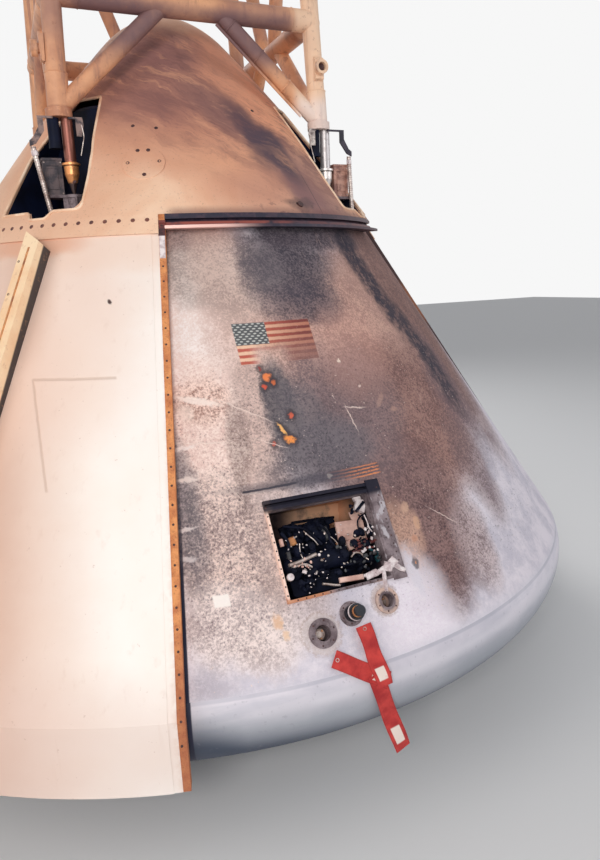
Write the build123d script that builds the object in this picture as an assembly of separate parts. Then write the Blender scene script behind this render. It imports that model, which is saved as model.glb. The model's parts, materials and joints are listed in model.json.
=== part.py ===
"""Fire-damaged space capsule with its boost cover and the truss of its escape tower.

Millimetres. The origin is the lowest point of the heat shield, on the capsule's axis, and +Z points to
the nose. An azimuth is in degrees about +Z, with 0 at -Y, where the access opening is, and 90 at +X.
"""

from build123d import *
import os
from math import asin, atan2, cos, degrees, radians, sin, sqrt, tan

# Outline of the capsule: a dished base, a round corner and a cone
BASE_R = 1956.0
DISH_R = 4694.0
CORNER_R = 196.0
CONE_HALF_ANGLE = 33.0
AFT_SEAM_Z = 645.0
SPLICE_Z = 2147.0

# Walls, as offsets square to the cone, outwards positive
AFT_WALL = 60.0
SHIELD_WALL = 45.0
CABIN_OUT = -147.0
CABIN_IN = -172.0
COVER_IN = 4.0
COVER_OUT = 49.0

# Cabin
CABIN_R = 1400.0
CABIN_FLOOR_Z = 400.0
CABIN_SKIN = 25.0
CABIN_CHAMFER = 150.0
DECK_THICK = 27.0
TUNNEL_R = 400.0
TUNNEL_TOP_Z = 2960.0

# Boost cover: one quarter is missing, between the first panel's edge and the last one's
MISSING_FROM = -16.7
MISSING_TO = 73.0
SKIRT_R = 2003.0
SKIRT_Z = 390.0
STRAP_OUT = 55.0
STRAP_LOW_Z = 2073.0
STRIP_W = 24.0
EDGE_STEP_W = 27.0
EDGE_STEP_DEPTH = 3.0
CHANNEL_END = 50.0
CHANNEL_LOW_Z = 2090.0

# Nose cap: foot, bulge and shoulder of its long arc, and the rounding to its flat top
APEX_R = 1012.0
APEX_SKIN = 16.0
NOSE_BULGE = (688.0, 2574.0)
NOSE_SHOULDER = (316.0, 3000.0)
NOSE_ROUND = (208.0, 3092.0)
NOSE_TOP = (90.0, 3150.0)
WELL_BACK_R = 620.0
WELL_WALL = 12.0

# Access opening and the three service ports below it
ACCESS_AZ = 0.5
ACCESS_Z = 1003.0
ACCESS_W = 400.0
ACCESS_H = 350.0
PORT_R = 38.0
PORT_BORE_R = 26.0

# Crew hatch, straight behind the access opening
HATCH_AZ = 180.0
HATCH_Z = 1640.0
HATCH_W = 740.0
HATCH_H = 860.0
HATCH_CORNER = 66.0
HATCH_GAP = 6.0
HATCH_DEPTH = -165.0
HATCH_TAPER = 12.0
COVER_HATCH_W = 820.0
COVER_HATCH_H = 940.0
WINDOW_R = 125.0
HINGE_U = 455.0
HINGE_N = 25.0
HINGE_R = 20.0
HINGE_PIN_R = 9.0

# Escape tower
LEG_R = 41.0
RAIL_R = 48.0
BRACE_R = 35.0
FOOT_Z = 2570.0
SLEEVE_TOP_Z = 2740.0
TOWER_TOP_Z = 5618.0
FOOT_X = 593.0
FOOT_Y = 530.0
TOP_X = 470.0
TOP_Y = 470.0
SLEEVE_R = 45.0
COLLAR_R = 53.0
COLLAR = 34.0
SEAT_Z = 2268.0

COS = cos(radians(CONE_HALF_ANGLE))
SIN = sin(radians(CONE_HALF_ANGLE))
TAN = tan(radians(CONE_HALF_ANGLE))
CORNER_CENTRE_R = BASE_R - CORNER_R
CORNER_CENTRE_Z = DISH_R - sqrt((DISH_R - CORNER_R) ** 2 - CORNER_CENTRE_R**2)
TANGENT_R = CORNER_CENTRE_R + CORNER_R * COS
TANGENT_Z = CORNER_CENTRE_Z + CORNER_R * SIN
VERTEX_Z = TANGENT_Z + TANGENT_R / TAN


def cone_r(z, offset=0.0):
    """Radius of the cone at height z, moved out square to its wall."""
    return (VERTEX_Z - z) * TAN + offset / COS


def cone_z(r, offset=0.0):
    """Height at which the moved cone has radius r."""
    return VERTEX_Z - (r - offset / COS) / TAN


def turned(face, start=0.0, stop=360.0):
    """Turn an XZ profile about the axis, from one azimuth to another."""
    solid = revolve(face, axis=Axis.Z, revolution_arc=stop - start)
    return Rot(0, 0, start - 90.0) * solid


def profile(*points):
    """Closed XZ profile from straight runs of (radius, height)."""
    return make_face(Plane.XZ * Polyline(*points, close=True))


def cone_band(inner, outer, low, high, start=0.0, stop=360.0):
    """Wall between two offsets of the cone, between two heights."""
    return turned(
        profile(
            (cone_r(low, inner), low),
            (cone_r(low, outer), low),
            (cone_r(high, outer), high),
            (cone_r(high, inner), high),
        ),
        start,
        stop,
    )


def cone_core(offset, low=0.0):
    """Everything inside the moved cone, above a height."""
    return turned(profile((0, low), (cone_r(low, offset), low), (0, cone_z(0, offset))))


def on_wall(azimuth, z, offset=0.0):
    """Plane on the cone: local x runs round it, y up its slope and z out of it."""
    a = radians(azimuth)
    r = cone_r(z, offset)
    return Plane(
        origin=(r * sin(a), -r * cos(a), z),
        x_dir=(cos(a), sin(a), 0),
        z_dir=(COS * sin(a), -COS * cos(a), SIN),
    )


def upright(angle, r, z):
    """Upright plane square to a radius: local x runs round the axis, y up and z outwards."""
    return Plane(origin=(r * sin(angle), -r * cos(angle), z), x_dir=(cos(angle), sin(angle), 0),
                 z_dir=(sin(angle), -cos(angle), 0))


def block(plane, width, height, low, high, x=0.0, y=0.0):
    """Box on a wall plane, from one depth to another."""
    return plane * Pos(x, y, (low + high) / 2) * Box(width, height, high - low)


def plug(plane, width, height, radius, low, high, taper=0.0):
    """Rounded rectangular prism on a wall plane that narrows inwards by its taper."""
    shrink = 2 * (high - low) * tan(radians(taper))
    top = plane * Pos(0, 0, high) * RectangleRounded(width, height, radius)
    if taper == 0.0:
        return extrude(top, amount=low - high)
    foot = plane * Pos(0, 0, low) * RectangleRounded(width - shrink, height - shrink, radius)
    return loft([foot, top], ruled=True)


def rod(a, b, radius):
    """Round bar between two points."""
    direction = Vector(*b) - Vector(*a)
    return extrude(Plane(origin=a, z_dir=direction) * Circle(radius), amount=direction.length)


def level_rod(a, b, radius):
    """Leaning round bar whose two ends are cut level."""
    low, high = Vector(*a), Vector(*b)
    past = (high - low).normalized() * 60.0
    slab = Pos((low.X + high.X) / 2, (low.Y + high.Y) / 2, (low.Z + high.Z) / 2)
    return rod(tuple(low - past), tuple(high + past), radius) & slab * Box(2000, 2000, high.Z - low.Z)


def solids_of(*pieces):
    """Separate solids as one node."""
    found = []
    for piece in pieces:
        found += list(piece.solids())
    return Compound(children=found)


def aft_heat_shield():
    """Dished shell with its round corner, open on top."""

    def edge(wall):
        r = CORNER_R - wall
        up = AFT_SEAM_Z - CORNER_CENTRE_Z
        side = sqrt(r * r - up * up)
        dish = DISH_R - wall
        join_angle = asin(CORNER_CENTRE_R / (DISH_R - CORNER_R))
        corner_start = (dish * sin(join_angle), DISH_R - dish * cos(join_angle))
        half = join_angle / 2
        middle = (dish * sin(half), DISH_R - dish * cos(half))
        out = atan2(up, side)
        turn = (out - (join_angle - radians(90))) / 2 + (join_angle - radians(90))
        corner_mid = (CORNER_CENTRE_R + r * cos(turn), CORNER_CENTRE_Z + r * sin(turn))
        corner_end = (CORNER_CENTRE_R + side, AFT_SEAM_Z)
        return (0, wall), middle, corner_start, corner_mid, corner_end

    outer = edge(0.0)
    inner = edge(AFT_WALL)
    lines = [
        ThreePointArc(outer[0], outer[1], outer[2]),
        ThreePointArc(outer[2], outer[3], outer[4]),
        Line(outer[4], inner[4]),
        ThreePointArc(inner[4], inner[3], inner[2]),
        ThreePointArc(inner[2], inner[1], inner[0]),
        Line(inner[0], outer[0]),
    ]
    return turned(make_face([Plane.XZ * line for line in lines]))


def seam_r():
    """Radius of the round corner at the aft seam."""
    up = AFT_SEAM_Z - CORNER_CENTRE_Z
    return CORNER_CENTRE_R + sqrt(CORNER_R**2 - up * up)


# Service ports: azimuth, height, size against the first
PORTS = ((-2.9, 758.0, 1.0), (0.6, 790.0, 0.8), (5.1, 797.0, 0.9))


def crew_heat_shield():
    """Conical ablative wall with the access opening, the ports and the hatch cut through it."""
    low, high = AFT_SEAM_Z, SPLICE_Z
    wall = turned(
        profile(
            (cone_r(low, -SHIELD_WALL), low),
            (seam_r(), low),
            (TANGENT_R, TANGENT_Z),
            (cone_r(high), high),
            (cone_r(high, -SHIELD_WALL), high),
        )
    )
    wall -= block(on_wall(ACCESS_AZ, ACCESS_Z), ACCESS_W, ACCESS_H, -150, 60)
    wall -= plug(on_wall(HATCH_AZ, HATCH_Z), HATCH_W, HATCH_H, HATCH_CORNER, -200, 100)
    for azimuth, z, size in PORTS:
        wall -= on_wall(azimuth, z) * Cylinder(PORT_R * size, 200)
    return wall


def cabin_shell():
    """Side wall of the pressure cabin, with the hatch opening."""
    knee = cone_z(CABIN_R, CABIN_OUT)
    low = CABIN_FLOOR_Z + CABIN_CHAMFER
    top = SPLICE_Z - DECK_THICK - CABIN_SKIN
    inner_r = CABIN_R - CABIN_SKIN
    wall = turned(
        profile(
            (inner_r, low),
            (CABIN_R, low),
            (CABIN_R, knee),
            (cone_r(top, CABIN_OUT), top),
            (cone_r(top, CABIN_IN), top),
            (inner_r, cone_z(inner_r, CABIN_IN)),
        )
    )
    return wall - plug(on_wall(HATCH_AZ, HATCH_Z), HATCH_W, HATCH_H, HATCH_CORNER, -320, 0)


def cabin_floor():
    """Flat aft bulkhead of the cabin."""
    return Pos(0, 0, CABIN_FLOOR_Z + CABIN_SKIN / 2) * Cylinder(CABIN_R - CABIN_CHAMFER, CABIN_SKIN)


def cabin_rim():
    """Sloping rim between the cabin's floor and its side wall."""
    low, high = CABIN_FLOOR_Z, CABIN_FLOOR_Z + CABIN_CHAMFER
    foot_r = CABIN_R - CABIN_CHAMFER
    return turned(
        profile(
            (foot_r, low),
            (CABIN_R, high),
            (CABIN_R - CABIN_SKIN, high),
            (foot_r, low + CABIN_SKIN),
        )
    )


def cabin_roof():
    """Forward bulkhead of the cabin, under the deck."""
    top = SPLICE_Z - DECK_THICK
    under = top - CABIN_SKIN
    rim = ((cone_r(under, CABIN_OUT), under), (cone_r(top, CABIN_OUT), top))
    return turned(profile((0, under), *rim, (0, top)))


def cabin_ring():
    """Conical skirt that carries the cabin's floor on the aft heat shield."""
    shield_z = DISH_R - sqrt((DISH_R - AFT_WALL) ** 2 - 1000.0**2)
    foot = ((980, shield_z + 2), (1000, shield_z + 6))
    return turned(profile(*foot, (1200, CABIN_FLOOR_Z), (1180, CABIN_FLOOR_Z)))


def forward_deck():
    """Ring deck under the nose, from the tunnel to the shield."""
    low, high = SPLICE_Z - DECK_THICK, SPLICE_Z
    inner = TUNNEL_R + 0.5
    return turned(
        profile(
            (inner, low),
            (cone_r(low, -SHIELD_WALL) - 1.0, low),
            (cone_r(high, -SHIELD_WALL) - 1.0, high),
            (inner, high),
        )
    )


def forward_tunnel():
    """Closed tube on the cabin's roof, under the nose cap."""
    low = SPLICE_Z - DECK_THICK
    tube = Pos(0, 0, (low + TUNNEL_TOP_Z) / 2) * Cylinder(TUNNEL_R * 0.75, TUNNEL_TOP_Z - low)
    flange = Pos(0, 0, (low + SPLICE_Z + 14) / 2) * Cylinder(TUNNEL_R, SPLICE_Z + 14 - low)
    return tube + flange


def hatch_frame():
    """Rectangular sleeve that joins the cabin to the shield round the hatch."""
    place = on_wall(HATCH_AZ, HATCH_Z)
    sleeve = plug(place, HATCH_W + 40, HATCH_H + 40, HATCH_CORNER + 20, -300, 60)
    sleeve -= plug(place, HATCH_W, HATCH_H, HATCH_CORNER, -310, 70)
    return sleeve & cone_band(CABIN_OUT, -SHIELD_WALL, 900, 2120)


def access_bay():
    """Open box between the access opening and the cabin's wall."""
    place = on_wall(ACCESS_AZ, ACCESS_Z)
    box = block(place, ACCESS_W + 24, ACCESS_H + 24, -700, 0)
    box -= block(place, ACCESS_W, ACCESS_H, -710, 10)
    space = cone_core(-SHIELD_WALL - 0.5, 300) - Pos(0, 0, 900) * Cylinder(CABIN_R + 0.5, 1400)
    return max((box & space).solids(), key=lambda s: s.volume)


def access_frame():
    """Frame in the access opening: a deep grooved head, thin sides and a wide flange on the right."""
    place = on_wall(ACCESS_AZ, ACCESS_Z)
    side, sill, head, flange_w = 9.0, 10.0, 36.0, 52.0
    clear_w, clear_h = ACCESS_W - 2 * side, ACCESS_H - sill - head
    frame = block(place, ACCESS_W, ACCESS_H, -SHIELD_WALL, 3)
    frame -= block(place, clear_w, clear_h, -80, 20, 0, (sill - head) / 2)
    frame -= block(place, ACCESS_W - 4, 12, -18, 20, 0, ACCESS_H / 2 - head / 2)
    frame += block(place, flange_w, ACCESS_H + 16, -0.5, 6, (ACCESS_W + flange_w) / 2 - 2, 0)
    return frame


# Charred units in the access bay: x, y, width, height, low and high depth
BAY_UNITS = (
    (-118, -10, 122, 110, -520, -120),
    (10, 22, 96, 86, -520, -150),
    (-40, -122, 200, 64, -520, -96),
    (120, -60, 104, 120, -520, -190),
)
# Long black bottle across the bay: radius, end x on both sides, y, depth
BOTTLE_R = 34.0
BOTTLE_X = (-150.0, 74.0)
BOTTLE_Y = -54.0
BOTTLE_N = -72.0


def bay_units():
    """Equipment boxes that stand on the cabin's wall inside the bay."""
    place = on_wall(ACCESS_AZ, ACCESS_Z)
    drum = Pos(0, 0, 900) * Cylinder(CABIN_R + 0.5, 1400)
    units = []
    for x, y, width, height, low, high in BAY_UNITS:
        unit = block(place, width, height, low, high, x, y)
        unit = chamfer(unit.edges().filter_by(lambda e: e.length > 200), 8)
        unit = unit - drum
        units.append(max(unit.solids(), key=lambda s: s.volume))
    return solids_of(*units)


def bay_bottle():
    """Domed pressure bottle on two saddles across the bay."""
    place = on_wall(ACCESS_AZ, ACCESS_Z)
    first, last = BOTTLE_X
    middle = (first + last) / 2
    body = place * Pos(middle, BOTTLE_Y, BOTTLE_N) * Rot(0, 90, 0) * Cylinder(BOTTLE_R, last - first - 40)
    for x in (first + 20, last - 20):
        body += place * Pos(x, BOTTLE_Y, BOTTLE_N) * Sphere(BOTTLE_R)
    neck = place * Pos(last + 22, BOTTLE_Y, BOTTLE_N) * Rot(0, 90, 0) * Cylinder(9, 30)
    for x, low in ((first + 50, BAY_UNITS[0][5]), (last - 50, BAY_UNITS[1][5])):
        body += block(place, 16, 66, low, BOTTLE_N, x, BOTTLE_Y + 17)
    return body + neck


def service_ports():
    """Flanged round sockets in the shield below the access opening."""
    rings = []
    for azimuth, z, size in PORTS:
        place = on_wall(azimuth, z)
        tube = place * Pos(0, 0, -25) * Cylinder(PORT_R * size - 0.2, 62)
        lip = place * Pos(0, 0, 5) * Cylinder(PORT_R * size + 10, 8)
        bore = place * Pos(0, 0, -15) * Cylinder(PORT_BORE_R * size, 60)
        rings.append(tube + lip - bore)
    return solids_of(*rings)


# Plug in the second port: distance out of the wall and radius
PLUG_STEPS = (
    (-40.0, 9.0, 20.6),
    (9.0, 26.0, 27.0),
    (26.0, 44.0, 23.0),
    (44.0, 56.0, 27.0),
    (56.0, 84.0, 18.0),
)


def port_plug():
    """Blanking plug in the middle port: a stepped boot with a pale collar."""
    azimuth, z, _ = PORTS[1]
    pieces = None
    for low, high, radius in PLUG_STEPS:
        step = on_wall(azimuth, z) * Pos(0, 0, (low + high) / 2) * Cylinder(radius, high - low)
        pieces = step if pieces is None else pieces + step
    return pieces


# Red streamers: azimuth, height of the middle, turn in their plane, length and clearance off the wall;
# the last one hangs upright below the round corner
STREAMER_W = 58.0
STREAMER = 4.0
STREAMERS = ((0.0, 640.0, 55.0, 200.0, 5.0), (1.7, 668.0, 6.0, 200.0, 13.0))
LONG_STREAMER = (2.6, 470.0, 17.0, 330.0, 1962.0)


def port_streamers():
    """Cloth streamers that hang from the ports."""
    cloths = []
    for azimuth, z, turn, length, off in STREAMERS:
        cloths.append(on_wall(azimuth, z) * Rot(0, 0, turn) * Pos(0, 0, off + STREAMER / 2)
                      * Box(STREAMER_W, length, STREAMER))
    azimuth, z, turn, length, r = LONG_STREAMER
    cloths.append(upright(radians(azimuth), r, z) * Rot(0, 0, turn) * Box(STREAMER_W, length, STREAMER))
    return solids_of(*cloths)


# Boost cover panels left on the capsule: name, first azimuth, last azimuth
COVER_PANELS = (
    ("left", -145.0, MISSING_FROM),
    ("back", 145.0, 215.0),
    ("right", MISSING_TO, 145.0),
)


def cover_section(inner, outer, low, proud=0.0):
    """Profile of the side cover: a cone that turns down into a short straight skirt."""
    skirt_out = SKIRT_R + proud
    skirt_in = skirt_out - (outer - inner)
    return profile(
        (skirt_in, low),
        (skirt_out, low),
        (skirt_out, cone_z(skirt_out, outer)),
        (cone_r(SPLICE_Z, outer), SPLICE_Z),
        (cone_r(SPLICE_Z, inner), SPLICE_Z),
        (skirt_in, cone_z(skirt_in, inner)),
    )


def edge_block(azimuth, first, last):
    """Band of constant width along one cut edge of the cover, from one distance off it to another."""
    sign = -1 if azimuth == MISSING_FROM else 1
    middle = (SKIRT_Z + SPLICE_Z) / 2
    return block(on_wall(azimuth, middle), last - first, 3000, -600, 600, sign * (first + last) / 2)


def boost_cover_panel(start, stop):
    """Side panel of the boost cover, with a shallow step along an edge beside the missing quarter."""
    gap = 0.02
    panel = turned(cover_section(COVER_IN, COVER_OUT, SKIRT_Z), start + gap, stop - gap)
    for azimuth in (MISSING_FROM, MISSING_TO):
        if azimuth in (start, stop):
            panel -= edge_block(azimuth, -20, STRIP_W + 0.1)
            section = cover_section(COVER_OUT - EDGE_STEP_DEPTH, COVER_OUT + 9, SKIRT_Z - 5, 9)
            step = turned(section, start, stop)
            panel -= step & edge_block(azimuth, STRIP_W, STRIP_W + EDGE_STEP_W)
    return panel


def boost_cover_back(start, stop):
    """Back panel with the opening for the cover hatch."""
    place = on_wall(HATCH_AZ, HATCH_Z)
    hole = plug(place, COVER_HATCH_W, COVER_HATCH_H, HATCH_CORNER + 10, -200, 140)
    return boost_cover_panel(start, stop) - hole


def nose_profile(shrink):
    """Outline of the nose cap: a bulging cone that rounds over to a small flat top."""
    foot = (APEX_R - shrink, SPLICE_Z + 1)
    bulge = (NOSE_BULGE[0] - shrink, NOSE_BULGE[1])
    shoulder = (NOSE_SHOULDER[0] - shrink, NOSE_SHOULDER[1] - shrink * 0.3)
    round_mid = (NOSE_ROUND[0] - shrink * 0.7, NOSE_ROUND[1] - shrink * 0.7)
    top = (NOSE_TOP[0], NOSE_TOP[1] - shrink)
    return foot, bulge, shoulder, round_mid, top


def nose_solid(shrink):
    """Filled nose cap."""
    foot, bulge, shoulder, round_mid, top = nose_profile(shrink)
    lines = [
        ThreePointArc(foot, bulge, shoulder),
        ThreePointArc(shoulder, round_mid, top),
        Line(top, (0, top[1])),
        Line((0, top[1]), (0, foot[1])),
        Line((0, foot[1]), foot),
    ]
    return turned(make_face([Plane.XZ * line for line in lines]))


def leg_azimuths():
    """Azimuths of the four legs of the escape tower."""
    corner = degrees(atan2(FOOT_X, FOOT_Y))
    return (-corner, corner, 180 - corner, 180 + corner)


# Outline of a leg's well, seen from outside: distance from the leg's plane, positive towards the middle
# of the front or back face, height and corner radius
WELL_OUTLINE = (
    (210, 2184, 46),
    (150, 2431, 60),
    (62, 2684, 16),
    (-66, 2684, 16),
    (-204, 2440, 60),
    (-206, 2184, 14),
)
# Notch in the well's lower edge
WELL_NOTCH = ((88, 2190), (56, 2155), (-21, 2155), (-50, 2190))


def well_sides():
    """Azimuth of each leg with the sign that points its well to the front or back middle."""
    return zip(leg_azimuths(), (1, -1, 1, -1))


def well_prism(azimuth, face, first_r, last_r):
    """Prism on a leg's upright plane, from one distance off the axis to another."""
    a = radians(azimuth)
    return extrude(upright(a, first_r, 0.0) * face, amount=last_r - first_r)


def well_face(sign, low_z=None):
    """Outline of a well; low_z takes its lower edge further down."""
    points = [(sign * u, z) for u, z, _ in WELL_OUTLINE]
    radii = [r for _, _, r in WELL_OUTLINE]
    if low_z is not None:
        points[0], points[-1] = (points[0][0], low_z), (points[-1][0], low_z)
    return make_face(FilletPolyline(*points, radius=radii, close=True))


def boost_cover_apex():
    """Hard nose cap with a well for each leg of the escape tower."""
    cap = nose_solid(0.0) - nose_solid(APEX_SKIN)
    for azimuth, sign in well_sides():
        cap -= well_prism(azimuth, well_face(sign), 300, 1300)
        notch = make_face(Polyline(*[(sign * u, z) for u, z in WELL_NOTCH], close=True))
        cap -= well_prism(azimuth, notch, 300, 1300)
    return cap


def leg_well_liners():
    """Walls that close each well off from the space under the nose cap."""
    inside = nose_solid(APEX_SKIN + 0.5)
    below = Pos(0, 0, SPLICE_Z + 0.5 - 200) * Cylinder(1400, 400)
    liners = []
    for azimuth, sign in well_sides():
        face = well_face(sign, SPLICE_Z - 80)
        outer = well_prism(azimuth, offset(face, amount=WELL_WALL), WELL_BACK_R - WELL_WALL, 1300)
        liner = (outer - well_prism(azimuth, face, WELL_BACK_R, 1310) - below) & inside
        liners.append(max(liner.solids(), key=lambda s: s.volume))
    return solids_of(*liners)


def splice_strap():
    """Bolted band over the joint between nose cap and side panels."""
    low = STRAP_LOW_Z
    band = turned(
        profile(
            (cone_r(low, COVER_OUT), low),
            (cone_r(low, STRAP_OUT), low),
            (cone_r(SPLICE_Z, STRAP_OUT), SPLICE_Z + 1),
            (APEX_R + 1, SPLICE_Z + 1),
            (APEX_R + 1, SPLICE_Z),
            (cone_r(SPLICE_Z, COVER_OUT), SPLICE_Z),
        ),
        MISSING_TO,
        MISSING_FROM + 360,
    )
    return band - edge_block(MISSING_FROM, -20, STRIP_W) - edge_block(MISSING_TO, -20, STRIP_W)


def edge_channel():
    """Channel along the nose cap's lower edge over the missing panel: a grooved web on a wide lip."""
    low, lip_top, groove_low, groove_top = CHANNEL_LOW_Z, 2101.0, 2116.0, 2128.0
    web, lip = 42.0, 60.0
    return turned(
        profile(
            (cone_r(low, 0.5), low),
            (cone_r(low, lip), low),
            (cone_r(low, lip), lip_top),
            (cone_r(lip_top, web), lip_top),
            (cone_r(groove_low, web), groove_low),
            (cone_r(groove_low, web - 8), groove_low),
            (cone_r(groove_top, web - 8), groove_top),
            (cone_r(groove_top, web + 6), groove_top),
            (cone_r(SPLICE_Z, COVER_OUT) + 2, SPLICE_Z + 1),
            (cone_r(SPLICE_Z, 0.5), SPLICE_Z + 1),
        ),
        MISSING_FROM + 0.05,
        CHANNEL_END,
    )


def seam_strips():
    """Cork edge strips along both cut edges of the side cover."""
    section = cover_section(COVER_IN, COVER_OUT - 4, SKIRT_Z, -4)
    first = turned(section, MISSING_FROM - 5, MISSING_FROM) & edge_block(MISSING_FROM, 0, STRIP_W)
    last = turned(section, MISSING_TO, MISSING_TO + 5) & edge_block(MISSING_TO, 0, STRIP_W)
    return solids_of(first, last)


# Section of the raised duct: distance across and height out of the wall
DUCT_SECTION = ((-50, -30), (-50, 78), (-26, 120), (47, 120), (47, -30))
DUCT_AZ = -42.9
DUCT_TOP_Z = 2050.0
DUCT_LOW_Z = 700.0
DUCT_SLANT = 33.0


def cover_duct():
    """Raised box duct down the cover, chamfered on its left and cut aslant at its top."""
    middle = (DUCT_TOP_Z + DUCT_LOW_Z) / 2
    length = (DUCT_TOP_Z - DUCT_LOW_Z) / COS
    place = on_wall(DUCT_AZ, middle)
    section = make_face(Polyline(*DUCT_SECTION, close=True))
    duct = extrude(place * Pos(0, -length / 2, 0) * Rot(90, 0, 0) * section, amount=-length)
    top_left = place * Pos(DUCT_SECTION[0][0], length / 2, 60)
    slant = top_left * Rot(0, 0, -DUCT_SLANT) * Pos(0, 100, 0) * Box(400, 200, 400)
    return duct - slant - cone_core(COVER_OUT + 0.2) - cone_core(STRAP_OUT + 0.2, STRAP_LOW_Z - 1)


# What stands under each leg, as distances from the leg's axis, x to the right seen from the front:
# stud x, boot x, box x and y, bracket x, conduit x at its upper and lower end. The back legs have the
# front ones' pieces turned half round.
FEET = (
    (26.0, -28.0, -48.0, 48.0, 74.0, -118.0, -76.0),
    (30.0, -24.0, 110.0, 20.0, -52.0, 146.0, 158.0),
    (26.0, -28.0, -48.0, 48.0, 74.0, -118.0, -76.0),
    (30.0, -24.0, 110.0, 20.0, -52.0, 146.0, 158.0),
)
BOX_W, BOX_D, BOX_H = 76.0, 54.0, 150.0
TABLE = 12.0
BOOT_R = 26.0
BOOT_H = 120.0
CONDUIT_R = 10.0
CONDUIT_Y = -25.0


def feet():
    """Frame under each foot of the tower, with the row of its layout."""
    places = [Pos(x, y, 0) * Rot(0, 0, 180 if y > 0 else 0) for x, y, _ in corners(FOOT_Z)]
    return zip(places, FEET)


def leg_fittings():
    """Pedestals on the forward deck: a ribbed post, a seat for the stud's tip and a shelf for the box."""
    posts = []
    tall = SEAT_Z - TABLE - SPLICE_Z
    middle = SPLICE_Z + tall / 2
    for place, (stud_x, _, box_x, box_y, _, _, _) in feet():
        post = Pos(stud_x, 0, middle) * Cylinder(30, tall)
        post += Pos(stud_x, 0, SPLICE_Z + 7) * Cylinder(62, 14)
        post += Pos(stud_x, 0, middle) * Box(96, 8, tall) + Pos(stud_x, 0, middle) * Box(8, 96, tall)
        post += Pos(stud_x, 0, SEAT_Z - TABLE / 2) * Cylinder(36, TABLE)
        shelf_from, shelf_to = sorted((stud_x, box_x + BOX_W / 2 * (1 if box_x > stud_x else -1)))
        shelf_mid, shelf_w = (shelf_from + shelf_to) / 2, shelf_to - shelf_from
        shelf_back = box_y + BOX_D / 2 - 4
        shelf_at = Pos(shelf_mid, (shelf_back - 12) / 2, SEAT_Z - TABLE / 2)
        shelf = shelf_at * Box(shelf_w, shelf_back + 12, TABLE)
        posts.append(place * (post + shelf))
    return solids_of(*posts)


def leg_boots():
    """Round housings of the separation nuts, beside the studs, each with a lower lip."""
    boots = []
    for place, (_, boot_x, _, _, _, _, _) in feet():
        boot = Pos(0, 0, -BOOT_H / 2) * Cylinder(BOOT_R - 2, BOOT_H)
        boot += Pos(0, 0, -BOOT_H + 9) * Cylinder(BOOT_R, 18)
        boots.append(place * Pos(boot_x, 0, FOOT_Z) * boot)
    return solids_of(*boots)


def leg_actuators():
    """Square release boxes beside the studs, with a rimmed lid and a sunk panel on the outer face."""
    boxes = []
    for place, (_, _, box_x, box_y, _, _, _) in feet():
        box = Box(BOX_W, BOX_D, BOX_H) - Pos(0, -BOX_D / 2, -8) * Box(BOX_W - 22, 8, BOX_H - 44)
        rim = Pos(0, 0, BOX_H / 2 - 5) * Box(BOX_W + 6, BOX_D + 6, 10)
        boxes.append(place * Pos(box_x, box_y, SEAT_Z + BOX_H / 2) * (box + rim))
    return solids_of(*boxes)


# Outlines of the brackets under the collars, for one on the right: a hooked plate and a cranked arm.
# The first two points are the inner end of the top bar, and follow the bracket's place.
HOOK = ((-16, -8), (-16, -74), (4, -74), (10, -52), (16, -26), (12, 0))
ARM = ((0, -8), (0, -56), (36, -106), (62, -118), (62, -96), (46, -84), (22, -42), (22, 0))
BRACKET_Y = -31.0


def leg_brackets():
    """Hooked plates and cranked arms that hang under the collars and hold the release lines."""
    brackets = []
    for place, (stud_x, _, _, _, hook_x, high_x, _) in feet():
        way = 1 if hook_x > stud_x else -1
        for outline, x, side in ((HOOK, hook_x, way), (ARM, high_x + way * 50, -way)):
            inner = side * (side * 30 - x)
            points = ((inner, 0), (inner, -8)) + outline
            face = make_face(Plane.XZ * Polyline(*[(side * u, w) for u, w in points], close=True))
            brackets.append(place * Pos(x, BRACKET_Y, FOOT_Z) * extrude(face, amount=4, both=True))
    return solids_of(*brackets)


def leg_conduits():
    """Flexible metal conduits from the cranked arms down to plugs on the deck."""
    runs = []
    low_z, high_z = SPLICE_Z + 40, FOOT_Z - 118
    for place, (_, _, _, _, _, high_x, low_x) in feet():
        tube = level_rod((low_x, CONDUIT_Y, low_z), (high_x, CONDUIT_Y, high_z), CONDUIT_R)
        foot = Pos(low_x, CONDUIT_Y, SPLICE_Z + 20) * Cylinder(CONDUIT_R + 4, 40)
        runs.append(place * (tube + foot))
    return solids_of(*runs)


def corners(z):
    """The four points of the tower's leg axes at a height."""
    k = (z - FOOT_Z) / (TOWER_TOP_Z - FOOT_Z)
    x = FOOT_X + (TOP_X - FOOT_X) * k
    y = FOOT_Y + (TOP_Y - FOOT_Y) * k
    return ((-x, -y, z), (x, -y, z), (x, y, z), (-x, y, z))


def tower_legs():
    """Four leaning tubes of the escape tower, above their foot sleeves."""
    ends = zip(corners(SLEEVE_TOP_Z), corners(TOWER_TOP_Z))
    return solids_of(*(level_rod(low, high, LEG_R) for low, high in ends))


# Levels of the tower's rails
RAIL_LEVELS = (3042.0, 4330.0, 5550.0)


def tower_rails():
    """Horizontal tubes between the legs."""
    legs = [rod(a, b, LEG_R + 0.05) for a, b in zip(corners(FOOT_Z), corners(TOWER_TOP_Z))]
    rails = []
    for z in RAIL_LEVELS:
        points = corners(z)
        for i in range(4):
            rail = rod(points[i], points[(i + 1) % 4], RAIL_R)
            rail = rail - legs[i] - legs[(i + 1) % 4]
            rails.append(max(rail.solids(), key=lambda s: s.volume))
    return solids_of(*rails)


# Braces of each tower face: foot height at the leg, head height at the rail's middle
BRACES = ((2605.0, 3042.0), (4262.0, 3042.0), (4398.0, 5550.0))
BRACE_SPREAD = 120.0


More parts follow.
